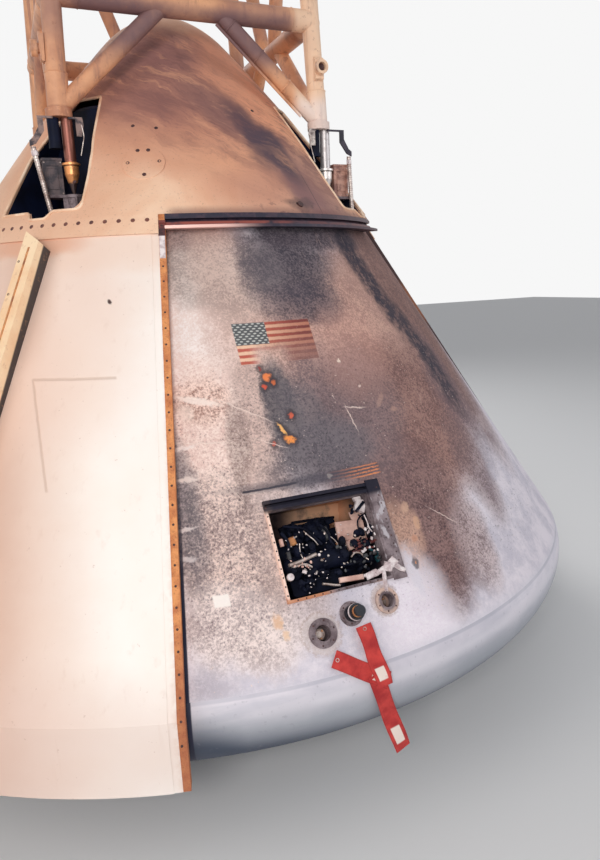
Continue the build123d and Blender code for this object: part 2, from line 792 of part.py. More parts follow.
def tower_braces():
    """Slanting tubes that run in pairs from the legs to the middle of a rail."""
    legs = [rod(a, b, LEG_R + 0.05) for a, b in zip(corners(FOOT_Z), corners(TOWER_TOP_Z))]
    sleeves = [rod(a, b, SLEEVE_R + 0.05) for a, b in zip(corners(FOOT_Z), corners(SLEEVE_TOP_Z))]
    collar = Pos(0, 0, COLLAR / 2) * Cylinder(COLLAR_R + 0.05, COLLAR)
    collars = [Pos(*foot) * collar for foot in corners(FOOT_Z)]
    braces = []
    for leg_z, rail_z in BRACES:
        spread = BRACE_SPREAD if leg_z < 2700 else 60.0
        for i in range(4):
            j = (i + 1) % 4
            head_a, head_b = Vector(*corners(rail_z)[i]), Vector(*corners(rail_z)[j])
            middle = (head_a + head_b) * 0.5
            along = (head_b - head_a).normalized()
            rail = rod(tuple(head_a), tuple(head_b), RAIL_R + 0.05)
            for leg, sign in ((i, -1), (j, 1)):
                foot = corners(leg_z)[leg]
                head = middle + along * (spread * sign)
                brace = rod(foot, tuple(head), BRACE_R) - rail - legs[leg] - sleeves[leg] - collars[leg]
                braces.append(max(brace.solids(), key=lambda s: s.volume))
    return solids_of(*braces)


def tower_feet():
    """Forged sleeves at the lower ends of the legs, each on a round collar."""
    feet = []
    for (x, y, z), top in zip(corners(FOOT_Z), corners(SLEEVE_TOP_Z)):
        collar = Pos(x, y, z + COLLAR / 2) * Cylinder(COLLAR_R, COLLAR)
        feet.append(level_rod((x, y, z), top, SLEEVE_R) + collar)
    return solids_of(*feet)


# Hoisting lug: height, and along its arm the distances of pad, neck and disc from the leg's axis
EYE_Z = 2830.0
EYE_PAD = 58.0
EYE_NECK_R = 19.0
EYE_DISC = (66.0, 90.0)
EYE_DISC_R = 31.0
EYE_HOLE_R = 19.0


def tower_eyes():
    """Hoisting lugs, one outside each leg and each a quarter turn on: pad, neck and a bored disc."""
    pad_outline = ((20, -62), (EYE_PAD, -44), (EYE_PAD, 44), (20, 62))
    pad = extrude(make_face(Plane.XZ * Polyline(*pad_outline, close=True)), amount=22, both=True)
    near, far = EYE_DISC
    neck = Pos((EYE_PAD + near) / 2, 0, 0) * Rot(0, 90, 0) * Cylinder(EYE_NECK_R, near - EYE_PAD + 4)
    disc = Pos((near + far) / 2, 0, 0) * Rot(0, 90, 0) * Cylinder(EYE_DISC_R, far - near)
    hole = Pos(far, 0, 0) * Rot(0, 90, 0) * Cylinder(EYE_HOLE_R, 2 * (far - near) - 10)
    lug = pad + neck + disc - hole
    lugs = []
    for i, (place, low, high) in enumerate(zip(corners(EYE_Z), corners(FOOT_Z), corners(TOWER_TOP_Z))):
        turned_lug = Pos(*place) * Rot(0, 0, 180 + 90 * i) * lug - rod(low, high, SLEEVE_R + 0.05)
        lugs.append(max(turned_lug.solids(), key=lambda s: s.volume))
    return solids_of(*lugs)


# Turned outline of a stud: radius and depth below the leg's foot
STUD_OUTLINE = (
    (0, 0),
    (24, 0),
    (24, 172),
    (37, 176),
    (37, 185),
    (31, 187),
    (29, 222),
    (19, 254),
    (17, 254),
    (5, 302),
    (0, 302),
)


def tower_studs():
    """Separation studs: a round bolt, a flanged cup and a pointed tip on the pedestal."""
    stud = turned(profile(*((r, -depth) for r, depth in STUD_OUTLINE)))
    return solids_of(*(place * Pos(row[0], 0, FOOT_Z) * stud for place, row in feet()))


def tower_top_plates():
    """Pads on top of the legs with one hole each for the motor's skirt."""
    plates = []
    for x, y, z in corners(TOWER_TOP_Z):
        plate = Pos(x, y, z + 12) * Box(150, 150, 24)
        plates.append(plate - Pos(x, y, z + 12) * Cylinder(13, 60))
    return solids_of(*plates)


def hatch_place():
    """Frame on the wall in the middle of the crew hatch."""
    return on_wall(HATCH_AZ, HATCH_Z)


def crew_hatch():
    """Tapered door through shield and cabin wall, with its window bored."""
    gap = 2 * HATCH_GAP
    door = plug(hatch_place(), HATCH_W - gap, HATCH_H - gap, HATCH_CORNER, -300, 0, HATCH_TAPER)
    door = door & cone_band(HATCH_DEPTH, 0, 1000, SPLICE_Z)
    return door - hatch_place() * Cylinder(WINDOW_R, 800)


def cover_hatch():
    """Part of the boost cover that opens with the crew hatch."""
    gap = 2 * HATCH_GAP
    radius = HATCH_CORNER + 6
    wide = plug(hatch_place(), COVER_HATCH_W - gap, COVER_HATCH_H - gap, radius, -60, 60, HATCH_TAPER)
    wide = wide & cone_band(8, COVER_OUT, 1000, SPLICE_Z)
    core = plug(hatch_place(), HATCH_W - 60, HATCH_H - 60, HATCH_CORNER, -150, 60)
    core = core & cone_band(0, 8, 1000, SPLICE_Z)
    return wide + core - hatch_place() * Cylinder(WINDOW_R, 800)


# Latch stations round the door: distance across, distance up and turn
LATCHES = (
    (-270, -250, 90), (-270, 0, 90), (-270, 250, 90),
    (270, -250, 90), (270, 0, 90), (270, 250, 90),
    (-120, 330, 0), (120, 330, 0), (-120, -330, 0), (120, -330, 0),
)


def door_depth(x):
    """Depth of the door's curved inner face, a distance x from its middle line."""
    return HATCH_DEPTH - x * x * COS / (2 * cone_r(HATCH_Z, HATCH_DEPTH))


def hatch_latches():
    """Latch dogs with rollers, their pull rods and the gearbox on the door's inner face."""
    place = hatch_place()
    high = HATCH_DEPTH + 10
    gear_y = -215.0
    pieces = place * Pos(0, gear_y, HATCH_DEPTH - 12) * Cylinder(70, 40)
    pieces += place * Pos(0, gear_y, HATCH_DEPTH - 40) * Cylinder(22, 18)
    for x, y, turn in LATCHES:
        inner = door_depth(x)
        width, height = (34, 84) if turn else (84, 34)
        pieces += block(place, width, height, inner - 22, high, x, y)
        pieces += place * Pos(x, y, inner - 27) * Cylinder(14, 12)
    rods = (
        (-270, 0, 12, 500), (270, 0, 12, 500),
        (0, 330, 240, 12), (0, -330, 240, 12),
        (0, gear_y, 540, 12), (0, -290, 12, 90),
    )
    for x, y, width, height in rods:
        reach = abs(x) + width / 2
        pieces += block(place, width, height, door_depth(reach) - 4, high, x, y)
    return pieces & cone_core(HATCH_DEPTH - 0.2, 900)


def hatch_glass():
    """Thick pane in the hatch window."""
    return hatch_place() * Pos(0, 0, -60) * Cylinder(WINDOW_R - 0.2, 30)


def window_ring():
    """Retaining ring round the hatch window."""
    ring = hatch_place() * Pos(0, 0, 20) * Cylinder(WINDOW_R + 26, 78)
    ring -= hatch_place() * Cylinder(WINDOW_R, 800)
    return ring - cone_core(COVER_OUT, 0)


# Hinge stations along the slope
HINGE_STATIONS = (-250.0, 250.0)


def hatch_hinge_brackets():
    """Fixed halves of the hinges, each two knuckles on a foot, with the pin."""
    feet = []
    for y in HINGE_STATIONS:
        piece = None
        for side in (-1, 1):
            at = y + side * 46
            barrel = hatch_place() * Pos(HINGE_U, at, HINGE_N) * Rot(90, 0, 0) * Cylinder(HINGE_R, 40)
            foot = block(hatch_place(), 80, 40, -90, HINGE_N, HINGE_U + 40, at)
            knuckle = barrel + foot
            piece = knuckle if piece is None else piece + knuckle
        pin = hatch_place() * Pos(HINGE_U, y, HINGE_N) * Rot(90, 0, 0) * Cylinder(HINGE_PIN_R, 132)
        piece = piece + pin - cone_core(COVER_OUT + 0.2, 0)
        feet.append(piece)
    return solids_of(*feet)


def hatch_hinge_arms():
    """Moving halves of the hinges, each an arm on the cover hatch."""
    arms = []
    for y in HINGE_STATIONS:
        barrel = hatch_place() * Pos(HINGE_U, y, HINGE_N) * Rot(90, 0, 0) * Cylinder(HINGE_R, 40)
        arm = block(hatch_place(), 150, 40, HINGE_N - 9, HINGE_N + 9, HINGE_U - 75, y)
        foot = block(hatch_place(), 90, 40, -60, HINGE_N + 9, HINGE_U - 110, y)
        piece = barrel + (arm + foot - cone_core(COVER_OUT + 0.2, 0))
        bore = hatch_place() * Pos(HINGE_U, y, HINGE_N) * Rot(90, 0, 0) * Cylinder(HINGE_PIN_R + 0.06, 60)
        arms.append(piece - bore)
    return solids_of(*arms)


def hatch_handle():
    """Grab handle on the free side of the cover hatch."""
    place = hatch_place()
    bar_n = COVER_OUT + 10
    x = -300.0
    bar = place * Pos(x, 0, bar_n) * Rot(90, 0, 0) * Cylinder(11, 200)
    posts = [place * Pos(x, y, bar_n - 45) * Cylinder(9, 90) for y in (-88, 88)]
    return (bar + posts[0] + posts[1]) - cone_core(COVER_OUT + 0.2, 0)


# Couches: middle of each along X
COUCH_X = (-640.0, 0.0, 640.0)
COUCH_W = 560.0


def crew_couches():
    """Bare couch pans: back, seat and leg rest in one bent plate each."""
    thick = 40.0
    back_z, knee_z = 1000.0, 1380.0
    head_y, hip_y, heel_y = 760.0, -140.0, -560.0
    outline = (
        (head_y, back_z),
        (hip_y - thick, back_z),
        (hip_y - thick, knee_z - thick),
        (heel_y, knee_z - thick),
        (heel_y, knee_z),
        (hip_y, knee_z),
        (hip_y, back_z + thick),
        (head_y, back_z + thick),
    )
    pan = extrude(make_face(Plane.YZ * Polyline(*outline, close=True)), amount=COUCH_W / 2, both=True)
    return solids_of(*(Pos(x, 0, 0) * pan for x in COUCH_X))


def couch_frame():
    """Tubular frame that carries the couches on the cabin's floor."""
    floor = CABIN_FLOOR_Z + CABIN_SKIN
    top = 960.0
    r = 22.0
    legs = [rod((x, y, floor), (x, y, top), r) for x in (-560, 560) for y in (-400, 600)]
    beams = [rod((-900, y, top + 18), (900, y, top + 18), 21.9) for y in (-150, 600)]
    sides = [rod((x, -400, top), (x, 600, top), r) for x in (-560, 560)]
    frame = legs[0]
    for piece in legs[1:] + beams + sides:
        frame = frame + piece
    return frame


def display_panel():
    """Main instrument panel under the cabin's roof, bent in three."""
    outline = ((-760, 1900), (-900, 1800), (-420, 1690), (420, 1690), (900, 1800), (760, 1900))
    face = make_face(Plane.XZ * Polyline(*outline, close=True))
    panel = Pos(0, 200, 0) * extrude(face, amount=520)
    return panel & cone_core(CABIN_IN - 30, 900)


NODES = {
    "aft_heat_shield": aft_heat_shield,
    "crew_heat_shield": crew_heat_shield,
    "cabin_shell": cabin_shell,
    "cabin_floor": cabin_floor,
    "cabin_rim": cabin_rim,
    "cabin_roof": cabin_roof,
    "cabin_ring": cabin_ring,
    "forward_deck": forward_deck,
    "forward_tunnel": forward_tunnel,
    "hatch_frame": hatch_frame,
    "access_bay": access_bay,
    "access_frame": access_frame,
    "bay_units": bay_units,
    "bay_bottle": bay_bottle,
    "service_ports": service_ports,
    "port_plug": port_plug,
    "port_streamers": port_streamers,
    "boost_cover_apex": boost_cover_apex,
    "leg_well_liners": leg_well_liners,
    "splice_strap": splice_strap,
    "edge_channel": edge_channel,
    "seam_strips": seam_strips,
    "cover_duct": cover_duct,
    "leg_fittings": leg_fittings,
    "leg_boots": leg_boots,
    "leg_actuators": leg_actuators,
    "leg_brackets": leg_brackets,
    "leg_conduits": leg_conduits,
    "tower_legs": tower_legs,
    "tower_rails": tower_rails,
    "tower_braces": tower_braces,
    "tower_feet": tower_feet,
    "tower_eyes": tower_eyes,
    "tower_studs": tower_studs,
    "tower_top_plates": tower_top_plates,
    "crew_hatch": crew_hatch,
    "cover_hatch": cover_hatch,
    "hatch_latches": hatch_latches,
    "hatch_glass": hatch_glass,
    "window_ring": window_ring,
    "hatch_hinge_brackets": hatch_hinge_brackets,
    "hatch_hinge_arms": hatch_hinge_arms,
    "hatch_handle": hatch_handle,
    "crew_couches": crew_couches,
    "couch_frame": couch_frame,
    "display_panel": display_panel,
}

os.makedirs("parts", exist_ok=True)
for name, make in NODES.items():
    export_step(make(), f"parts/{name}.step")
for name, start, stop in COVER_PANELS:
    make = boost_cover_back if name == "back" else boost_cover_panel
    export_step(make(start, stop), f"parts/boost_cover_{name}.step")
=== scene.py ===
"""Looks of the fire-damaged space capsule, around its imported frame. Metres, +Z up, the nose on +Z.

An azimuth is in degrees about +Z, 0 at the access opening on -Y and 90 at +X.
"""

import json
import math
import random

import bpy
from mathutils import Matrix, Vector

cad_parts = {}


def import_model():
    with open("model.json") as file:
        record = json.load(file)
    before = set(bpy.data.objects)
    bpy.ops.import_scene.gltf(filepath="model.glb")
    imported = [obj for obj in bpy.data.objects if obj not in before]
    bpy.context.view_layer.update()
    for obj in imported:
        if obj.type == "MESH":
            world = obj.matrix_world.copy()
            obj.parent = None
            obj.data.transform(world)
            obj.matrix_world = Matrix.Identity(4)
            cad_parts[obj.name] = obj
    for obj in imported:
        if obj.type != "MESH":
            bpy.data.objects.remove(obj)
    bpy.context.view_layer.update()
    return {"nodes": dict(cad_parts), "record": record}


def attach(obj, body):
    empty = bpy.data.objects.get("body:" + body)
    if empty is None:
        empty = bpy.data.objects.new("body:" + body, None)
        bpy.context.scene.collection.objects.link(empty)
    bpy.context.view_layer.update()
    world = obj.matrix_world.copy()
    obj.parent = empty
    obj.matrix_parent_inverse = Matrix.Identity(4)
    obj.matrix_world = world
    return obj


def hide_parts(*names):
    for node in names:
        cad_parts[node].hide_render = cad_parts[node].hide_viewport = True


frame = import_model()
NODES = frame["nodes"]

# The cone that every wall follows
HALF_ANGLE = math.radians(33.0)
COS, SIN, TAN = math.cos(HALF_ANGLE), math.sin(HALF_ANGLE), math.tan(HALF_ANGLE)
VERTEX_Z = 3.624661
COVER_OUT = 0.049
# Azimuth where the cover's missing panel begins at the left, and of the cover's seams behind
MISSING_FROM = -16.7
SEAMS = (-145.0, 145.0)
STRIP_W = 0.024
# The duct's azimuth and its ends
DUCT_AZIMUTH = -42.9
DUCT_FOOT, DUCT_TOP = 0.700, 2.050
# Service ports: azimuth, height and size; the middle one is plugged
PORTS = ((-2.9, 0.758, 1.0), (0.6, 0.790, 0.8), (5.1, 0.797, 0.9))
PLUGGED = PORTS[1]
# The nose cap's long arc: radius, distance of its centre from the axis and height
NOSE_ARC, NOSE_CENTRE_R, NOSE_CENTRE_Z = 8.14283, -5.62775, -2.56574

# The tower: leg axes at foot and top
FOOT = (0.593, 0.530, 2.570)
TOP = (0.470, 0.470, 5.618)
RAIL_R, BRACE_R = 0.048, 0.035
RAIL_LEVELS = (3.042, 4.330, 5.550)
BRACE_FOOT_Z = 2.605

# Camera, read off the photograph's outlines and rings
CAMERA_AT = (-0.9125, -3.6600, 1.890)
CAMERA_YAW = math.radians(23.16)
CAMERA_PITCH = math.radians(12.87)
CAMERA_ROLL = math.radians(2.53)
FOCAL_PIXELS = 671.3
LONG_SIDE_PIXELS = 860.0
SENSOR = 36.0


def camera():
    """Camera at the photograph's place and angle."""
    cy, sy = math.cos(CAMERA_YAW), math.sin(CAMERA_YAW)
    cp, sp = math.cos(CAMERA_PITCH), math.sin(CAMERA_PITCH)
    ahead = Vector((sy * cp, cy * cp, -sp))
    right = Vector((cy, -sy, 0.0))
    down = ahead.cross(right)
    turned_right = right * math.cos(CAMERA_ROLL) + down * math.sin(CAMERA_ROLL)
    turned_down = down * math.cos(CAMERA_ROLL) - right * math.sin(CAMERA_ROLL)
    data = bpy.data.cameras.new("camera")
    data.sensor_width = SENSOR
    data.lens = FOCAL_PIXELS * SENSOR / LONG_SIDE_PIXELS
    data.clip_end = 100.0
    obj = bpy.data.objects.new("camera", data)
    bpy.context.scene.collection.objects.link(obj)
    axes = Matrix((turned_right, -turned_down, -ahead)).transposed()
    obj.matrix_world = Matrix.Translation(CAMERA_AT) @ axes.to_4x4()
    bpy.context.scene.camera = obj


# Lamps: name, place, size, watts, colour
LAMPS = (
    ("key", (-2.3, -5.3, 3.0), 1.6, 112.0, (1.0, 0.97, 0.94)),
    ("left", (-6.0, -2.5, 4.5), 3.5, 70.0, (1.0, 0.93, 0.86)),
    ("right", (6.0, -4.5, 3.5), 4.0, 90.0, (0.94, 0.96, 1.0)),
    ("back", (1.0, 7.0, 6.0), 5.0, 240.0, (1.0, 1.0, 1.0)),
)
LAMP_AIM = (0.0, 0.0, 1.5)
SKY = (0.33, 0.335, 0.35)
SHOWN_BACKGROUND = (0.93, 0.93, 0.93)


def lamps():
    """Soft studio lamps."""
    for name, place, size, watts, colour in LAMPS:
        data = bpy.data.lights.new(name, "AREA")
        data.shape = "DISK"
        data.size = size
        data.energy = watts
        data.color = colour
        obj = bpy.data.objects.new(name, data)
        bpy.context.scene.collection.objects.link(obj)
        aim = Vector(LAMP_AIM) - Vector(place)
        obj.matrix_world = Matrix.Translation(place) @ aim.to_track_quat("-Z", "Y").to_matrix().to_4x4()


def world():
    """Even sky light, shown as a pale background to the camera, metal and glass."""
    sky = bpy.data.worlds.new("studio")
    sky.use_nodes = True
    bpy.context.scene.world = sky
    tree = sky.node_tree
    rays = tree.nodes.new("ShaderNodeLightPath")
    light = tree.nodes["Background"]
    light.inputs["Color"].default_value = (*SKY, 1.0)
    light.inputs["Strength"].default_value = 1.0
    shown = tree.nodes.new("ShaderNodeBackground")
    shown.inputs["Color"].default_value = (*SHOWN_BACKGROUND, 1.0)
    factor = rays.outputs["Is Camera Ray"]
    for ray in ("Is Glossy Ray", "Is Transmission Ray"):
        either = tree.nodes.new("ShaderNodeMath")
        either.operation = "MAXIMUM"
        tree.links.new(factor, either.inputs[0])
        tree.links.new(rays.outputs[ray], either.inputs[1])
        factor = either.outputs[0]
    mix = tree.nodes.new("ShaderNodeMixShader")
    tree.links.new(factor, mix.inputs[0])
    tree.links.new(light.outputs[0], mix.inputs[1])
    tree.links.new(shown.outputs[0], mix.inputs[2])
    tree.links.new(mix.outputs[0], tree.nodes["World Output"].inputs["Surface"])


def floor():
    """Pale floor that keeps the shadow."""
    pick()
    bpy.ops.mesh.primitive_plane_add(size=60.0, location=(0, 0, 0))
    ground = bpy.context.object
    ground.name = "floor"
    f = Finish("floor_pale", roughness=0.9)
    f.shader.inputs["Base Color"].default_value = srgb(236, 236, 236)
    ground.data.materials.append(f.material)


def distance_round(azimuth, z):
    """Distance round the cone from azimuth 0."""
    return math.radians(azimuth) * (VERTEX_Z - z) * TAN


def srgb(*tone):
    """Colour from 0 to 255 as a linear one."""
    shares = [value / 255.0 for value in tone]
    return (*(share / 12.92 if share <= 0.04045 else ((share + 0.055) / 1.055) ** 2.4 for share in shares), 1.0)


class Finish:
    """Node tree of one finish on Object coordinates. Its tones are three numbers from 0 to 255."""

    def __init__(self, name, roughness=0.8, metallic=0.0, shine=0.5):
        self.material = bpy.data.materials.new(name)
        self.material.use_nodes = True
        self.tree = self.material.node_tree
        self.shader = self.tree.nodes["Principled BSDF"]
        for socket, value in (("Roughness", roughness), ("Metallic", metallic), ("Specular IOR Level", shine)):
            self.shader.inputs[socket].default_value = value
        self.at = self.tree.nodes.new("ShaderNodeTexCoord").outputs["Object"]
        self.place = None
        self.tone = None

    def add(self, kind, inputs, output=0, **settings):
        """One node, with its settings, and its inputs linked or set."""
        node = self.tree.nodes.new("ShaderNode" + kind)
        for key, value in settings.items():
            setattr(node, key, value)
        for key, value in inputs.items():
            if isinstance(value, bpy.types.NodeSocket):
                self.tree.links.new(value, node.inputs[key])
            else:
                node.inputs[key].default_value = value
        return node.outputs if output is None else node.outputs[output]

    def math(self, operation, a, b=0.0, c=0.0):
        return self.add("Math", {0: a, 1: b, 2: c}, operation=operation)

    def times(self, first, *others):
        for value in others:
            first = self.math("MULTIPLY", first, value)
        return first

    def scaled(self, value, share, rest):
        """Value times share, plus the rest."""
        return self.math("MULTIPLY_ADD", value, share, rest)

    def minus(self, a, b):
        return self.math("SUBTRACT", a, b)

    def size(self, value):
        return self.math("ABSOLUTE", value)

    def most(self, a, b):
        return self.math("MAXIMUM", a, b)

    def step(self, value, low, high):
        """0 at low and 1 at high, smooth between; low may be the larger."""
        names = {"Value": value, "From Min": low, "From Max": high}
        return self.add("MapRange", names, interpolation_type="SMOOTHSTEP")

    def band(self, value, low, high, soft):
        """1 between low and high, with soft edges."""
        return self.times(self.step(value, low - soft, low + soft), self.step(value, high + soft, high - soft))

    def stretched(self, *scale):
        """Object coordinates, scaled."""
        return self.add("Mapping", {"Vector": self.at, "Scale": scale})

    def noise(self, scale, detail=4.0, rough=0.55, at=None, warp=0.0, output=0):
        names = {"Vector": at or self.at, "Scale": scale, "Detail": detail, "Roughness": rough, "Distortion": warp}
        return self.add("TexNoise", names, output)

    def mix(self, factor, *tones):
        a, b = (srgb(*tone) if isinstance(tone, tuple) else tone for tone in tones)
        return self.add("Mix", {0: factor, 6: a, 7: b}, output=2, data_type="RGBA")

    def blend(self, factor, a, b):
        """Number between a and b."""
        return self.add("Mix", {0: factor, 2: a, 3: b}, data_type="FLOAT")

    def near(self, point, radius, soft):
        """1 within a radius of a point, fading over the soft distance."""
        away = self.add("VectorMath", {0: self.at, 1: point}, output="Value", operation="DISTANCE")
        return self.step(away, radius + soft, radius - soft)

    def parts(self, vector=None):
        """X, Y and Z of a vector."""
        return self.add("SeparateXYZ", {0: vector or self.at}, output=None)

    def around(self):
        """Azimuth in degrees and height."""
        if not self.place:
            x, y, z = self.parts()
            angle = self.math("ARCTAN2", x, self.times(y, -1.0))
            self.place = self.times(angle, 180.0 / math.pi), z
        return self.place

    def unrolled(self, ripple, scale):
        """Distance round the cone and height, their outlines rippled by noise."""
        azimuth, z = self.around()
        arc = self.scaled(z, -TAN * math.pi / 180.0, VERTEX_Z * TAN * math.pi / 180.0)
        wave = self.add("SeparateColor", {0: self.noise(scale, 5.0, 0.6, output=1)}, output=None)
        flat = self.times(azimuth, arc), z
        return tuple(self.scaled(wave[i], ripple, self.minus(flat[i], ripple / 2)) for i in range(2))

    def patch(self, flat, azimuth, z, wide, tall, turn=0.0, soft=0.5):
        """1 in an oval on the unrolled wall: its middle, half width and height in metres and its turn."""
        x, y = flat
        across = distance_round(azimuth, z)
        c, s = math.cos(math.radians(turn)), math.sin(math.radians(turn))
        u = self.scaled(y, s / wide, -(across * c + z * s) / wide)
        u = self.scaled(x, c / wide, u)
        v = self.scaled(y, c / tall, (across * s - z * c) / tall)
        v = self.scaled(x, -s / tall, v)
        away = self.scaled(u, u, self.times(v, v))
        return self.step(away, (1.0 + soft) ** 2, (1.0 - soft) ** 2)

    def ground(self, mask, light, dark):
        """The two tones that lie under all others."""
        self.tone = self.mix(mask, light, dark)

    def lay(self, tone, *masks):
        """A tone over the ones so far, as far as the masks let it show."""
        self.tone = self.mix(self.times(*masks), self.tone, tone)

    def rough(self, value):
        self.tree.links.new(value, self.shader.inputs["Roughness"])

    def done(self, height, depth, strength=1.0):
        """The material, with its tone and a relief of a height from 0 to 1, depth in metres."""
        normal = self.add("Bump", {"Height": height, "Distance": depth, "Strength": strength})
        self.tree.links.new(self.tone, self.shader.inputs["Base Color"])
        self.tree.links.new(normal, self.shader.inputs["Normal"])
        return self.material


# Scorched and smoked fields of the shield, and painted shade under the channel, laid one over the other:
# azimuth and height of the middle, half width and half height, turn, softness, strength, light and dark tone
FIELDS = (
    (36.0, 1.700, 0.46, 0.56, 0, 0.30, 1.00, (184, 148, 138), (132, 102, 98)),
    (-9.1, 1.710, 0.28, 0.30, 0, 0.35, 0.97, (255, 244, 240), (242, 222, 214)),
    (0.7, 1.650, 0.22, 0.19, 0, 0.50, 0.85, (234, 200, 188), (200, 168, 158)),
    (-13.1, 1.963, 0.13, 0.14, 0, 0.50, 0.85, (206, 188, 180), (160, 146, 142)),
    # Painted shade under the channel's left end
    (-13.5, 2.060, 0.17, 0.045, 0, 0.60, 0.80, (166, 142, 136), (116, 102, 104)),
    (-4.7, 1.926, 0.13, 0.16, 0, 0.50, 0.85, (214, 186, 174), (168, 144, 138)),
    (14.9, 1.640, 0.32, 0.26, 0, 0.40, 0.95, (218, 176, 160), (166, 128, 120)),
    (17.5, 1.300, 0.44, 0.30, 0, 0.28, 1.00, (170, 132, 122), (118, 86, 84)),
    (15.0, 0.970, 0.21, 0.25, 12, 0.30, 1.00, (152, 120, 116), (94, 70, 72)),
    (10.6, 0.965, 0.06, 0.09, 10, 0.60, 0.75, (222, 178, 156), (150, 116, 106)),
    (-11.3, 1.348, 0.17, 0.24, 0, 0.30, 1.00, (255, 232, 222), (230, 196, 186)),
    (-11.0, 1.005, 0.17, 0.225, 0, 0.25, 1.00, (240, 214, 204), (152, 130, 128)),
    (-4.6, 1.363, 0.06, 0.18, 0, 0.60, 0.90, (222, 192, 182), (170, 146, 140)),
    (-11.1, 0.807, 0.17, 0.10, -8, 0.45, 0.90, (250, 232, 226), (172, 152, 152)),
    (-3.5, 1.000, 0.10, 0.20, 0, 0.60, 0.60, (220, 196, 188), (146, 126, 124)),
    (9.3, 1.380, 0.22, 0.20, 0, 0.60, 0.85, (142, 120, 122), (104, 88, 92)),
    (9.7, 1.949, 0.17, 0.14, 0, 0.55, 0.95, (108, 96, 102), (56, 52, 64)),
    (2.0, 1.900, 0.07, 0.12, 0, 0.80, 0.60, (120, 110, 114), (84, 78, 88)),
    (10.0, 1.780, 0.13, 0.06, 0, 0.80, 0.75, (96, 86, 96), (52, 50, 62)),
    # Painted shade under the channel
    (26.0, 2.060, 0.34, 0.05, 0, 0.60, 0.85, (96, 84, 92), (56, 50, 62)),
    (-1.1, 1.412, 0.060, 0.165, 0, 0.35, 0.96, (118, 110, 112), (86, 80, 88)),
    (2.2, 1.390, 0.060, 0.120, 24, 0.80, 0.70, (118, 110, 114), (86, 80, 90)),
    (3.4, 1.262, 0.17, 0.085, 4, 0.55, 0.92, (120, 112, 118), (84, 78, 86)),
    (-16.1, 1.163, 0.05, 0.18, 0, 0.70, 0.75, (140, 130, 134), (98, 92, 98)),
    (-12.8, 1.470, 0.08, 0.055, 0, 0.70, 0.85, (255, 222, 208), (158, 112, 98)),
    (-8.2, 1.300, 0.03, 0.13, -8, 0.80, 0.45, (150, 130, 124), (104, 84, 82)),
    (47.0, 1.700, 0.20, 0.60, 26, 0.50, 0.85, (150, 114, 106), (108, 82, 80)),
    (21.5, 0.860, 0.09, 0.13, 10, 0.60, 0.80, (206, 184, 184), (112, 90, 92)),
    (38.0, 1.340, 0.11, 0.24, 22, 0.70, 0.40, (130, 110, 118), (88, 76, 88)),
    (16.0, 1.590, 0.13, 0.12, 0, 0.90, 0.30, (230, 176, 160), (170, 128, 118)),
    (-16.0, 0.665, 0.10, 0.050, 0, 0.90, 0.60, (204, 194, 202), (178, 170, 180)),
    (30.5, 1.080, 0.09, 0.17, 22, 0.70, 0.65, (150, 120, 118), (98, 78, 82)),
    (8.6, 0.745, 0.11, 0.12, 20, 0.80, 0.80, (252, 244, 252), (240, 228, 240)),
)
# Crumbled soot: azimuth and height of the middle, half width and half height, turn, softness
SOOT = (
    (30.5, 2.010, 0.070, 0.09, 20, 0.60),
    (31.5, 1.880, 0.060, 0.13, 22, 0.55),
    (33.0, 1.750, 0.052, 0.14, 24, 0.60),
    (36.0, 1.610, 0.046, 0.12, 26, 0.80),
    (38.0, 1.440, 0.060, 0.14, 26, 0.90),
)
# Bright chips and blisters: middle, half width and height, turn, strength, tone
CHIPS = (
    (-13.2, 1.475, 0.070, 0.010, -12, 0.9, (255, 236, 226)),
    (-15.0, 1.440, 0.026, 0.022, 0, 0.6, (250, 228, 216)),
    (-15.6, 1.330, 0.040, 0.006, 6, 0.8, (250, 234, 228)),
    (-15.4, 1.235, 0.036, 0.007, 0, 0.8, (246, 228, 220)),
    (-15.8, 1.090, 0.030, 0.006, 8, 0.8, (236, 222, 220)),
    (-15.9, 1.010, 0.026, 0.006, -6, 0.7, (230, 218, 218)),
    (-7.2, 0.812, 0.016, 0.020, 12, 0.9, (234, 192, 158)),
    (-6.6, 0.772, 0.010, 0.013, 0, 0.9, (242, 208, 178)),
    (6.4, 0.905, 0.016, 0.009, 20, 0.8, (250, 236, 230)),
    (11.6, 1.560, 0.006, 0.005, 0, 1.0, (244, 222, 206)),
    (13.6, 1.460, 0.006, 0.005, 0, 0.9, (232, 206, 196)),
    (3.1, 1.190, 0.008, 0.006, 0, 0.9, (236, 224, 216)),
    (9.0, 0.960, 0.012, 0.080, 10, 0.5, (220, 208, 212)),
    (9.9, 0.850, 0.020, 0.070, 8, 0.7, (232, 226, 236)),
    (12.4, 1.040, 0.020, 0.014, 30, 0.7, (216, 176, 152)),
    (13.2, 0.985, 0.014, 0.020, 0, 0.7, (222, 176, 146)),
    (11.9, 0.940, 0.012, 0.010, 0, 0.7, (206, 150, 124)),
    (16.5, 1.400, 0.030, 0.010, 40, 0.4, (206, 166, 150)),
    (18.5, 1.360, 0.016, 0.008, 0, 0.4, (214, 170, 150)),
)
# Burnt-through spots: middle, half width and height, turn, tone
BURNS = (
    (-2.1, 1.535, 0.017, 0.012, 20, (246, 140, 84)),
    (-1.3, 1.514, 0.008, 0.009, 0, (206, 110, 70)),
    (-2.9, 1.503, 0.010, 0.007, 0, (214, 92, 70)),
    (-3.0, 1.564, 0.006, 0.006, 0, (150, 72, 70)),
    (0.1, 1.399, 0.009, 0.009, 0, (216, 104, 80)),
    (-1.7, 1.354, 0.006, 0.026, 30, (250, 190, 118)),
    (-1.0, 1.324, 0.019, 0.011, -8, (248, 156, 84)),
    (-3.4, 1.314, 0.008, 0.007, 0, (196, 98, 84)),
    (10.6, 0.872, 0.004, 0.006, 0, (236, 160, 112)),
)
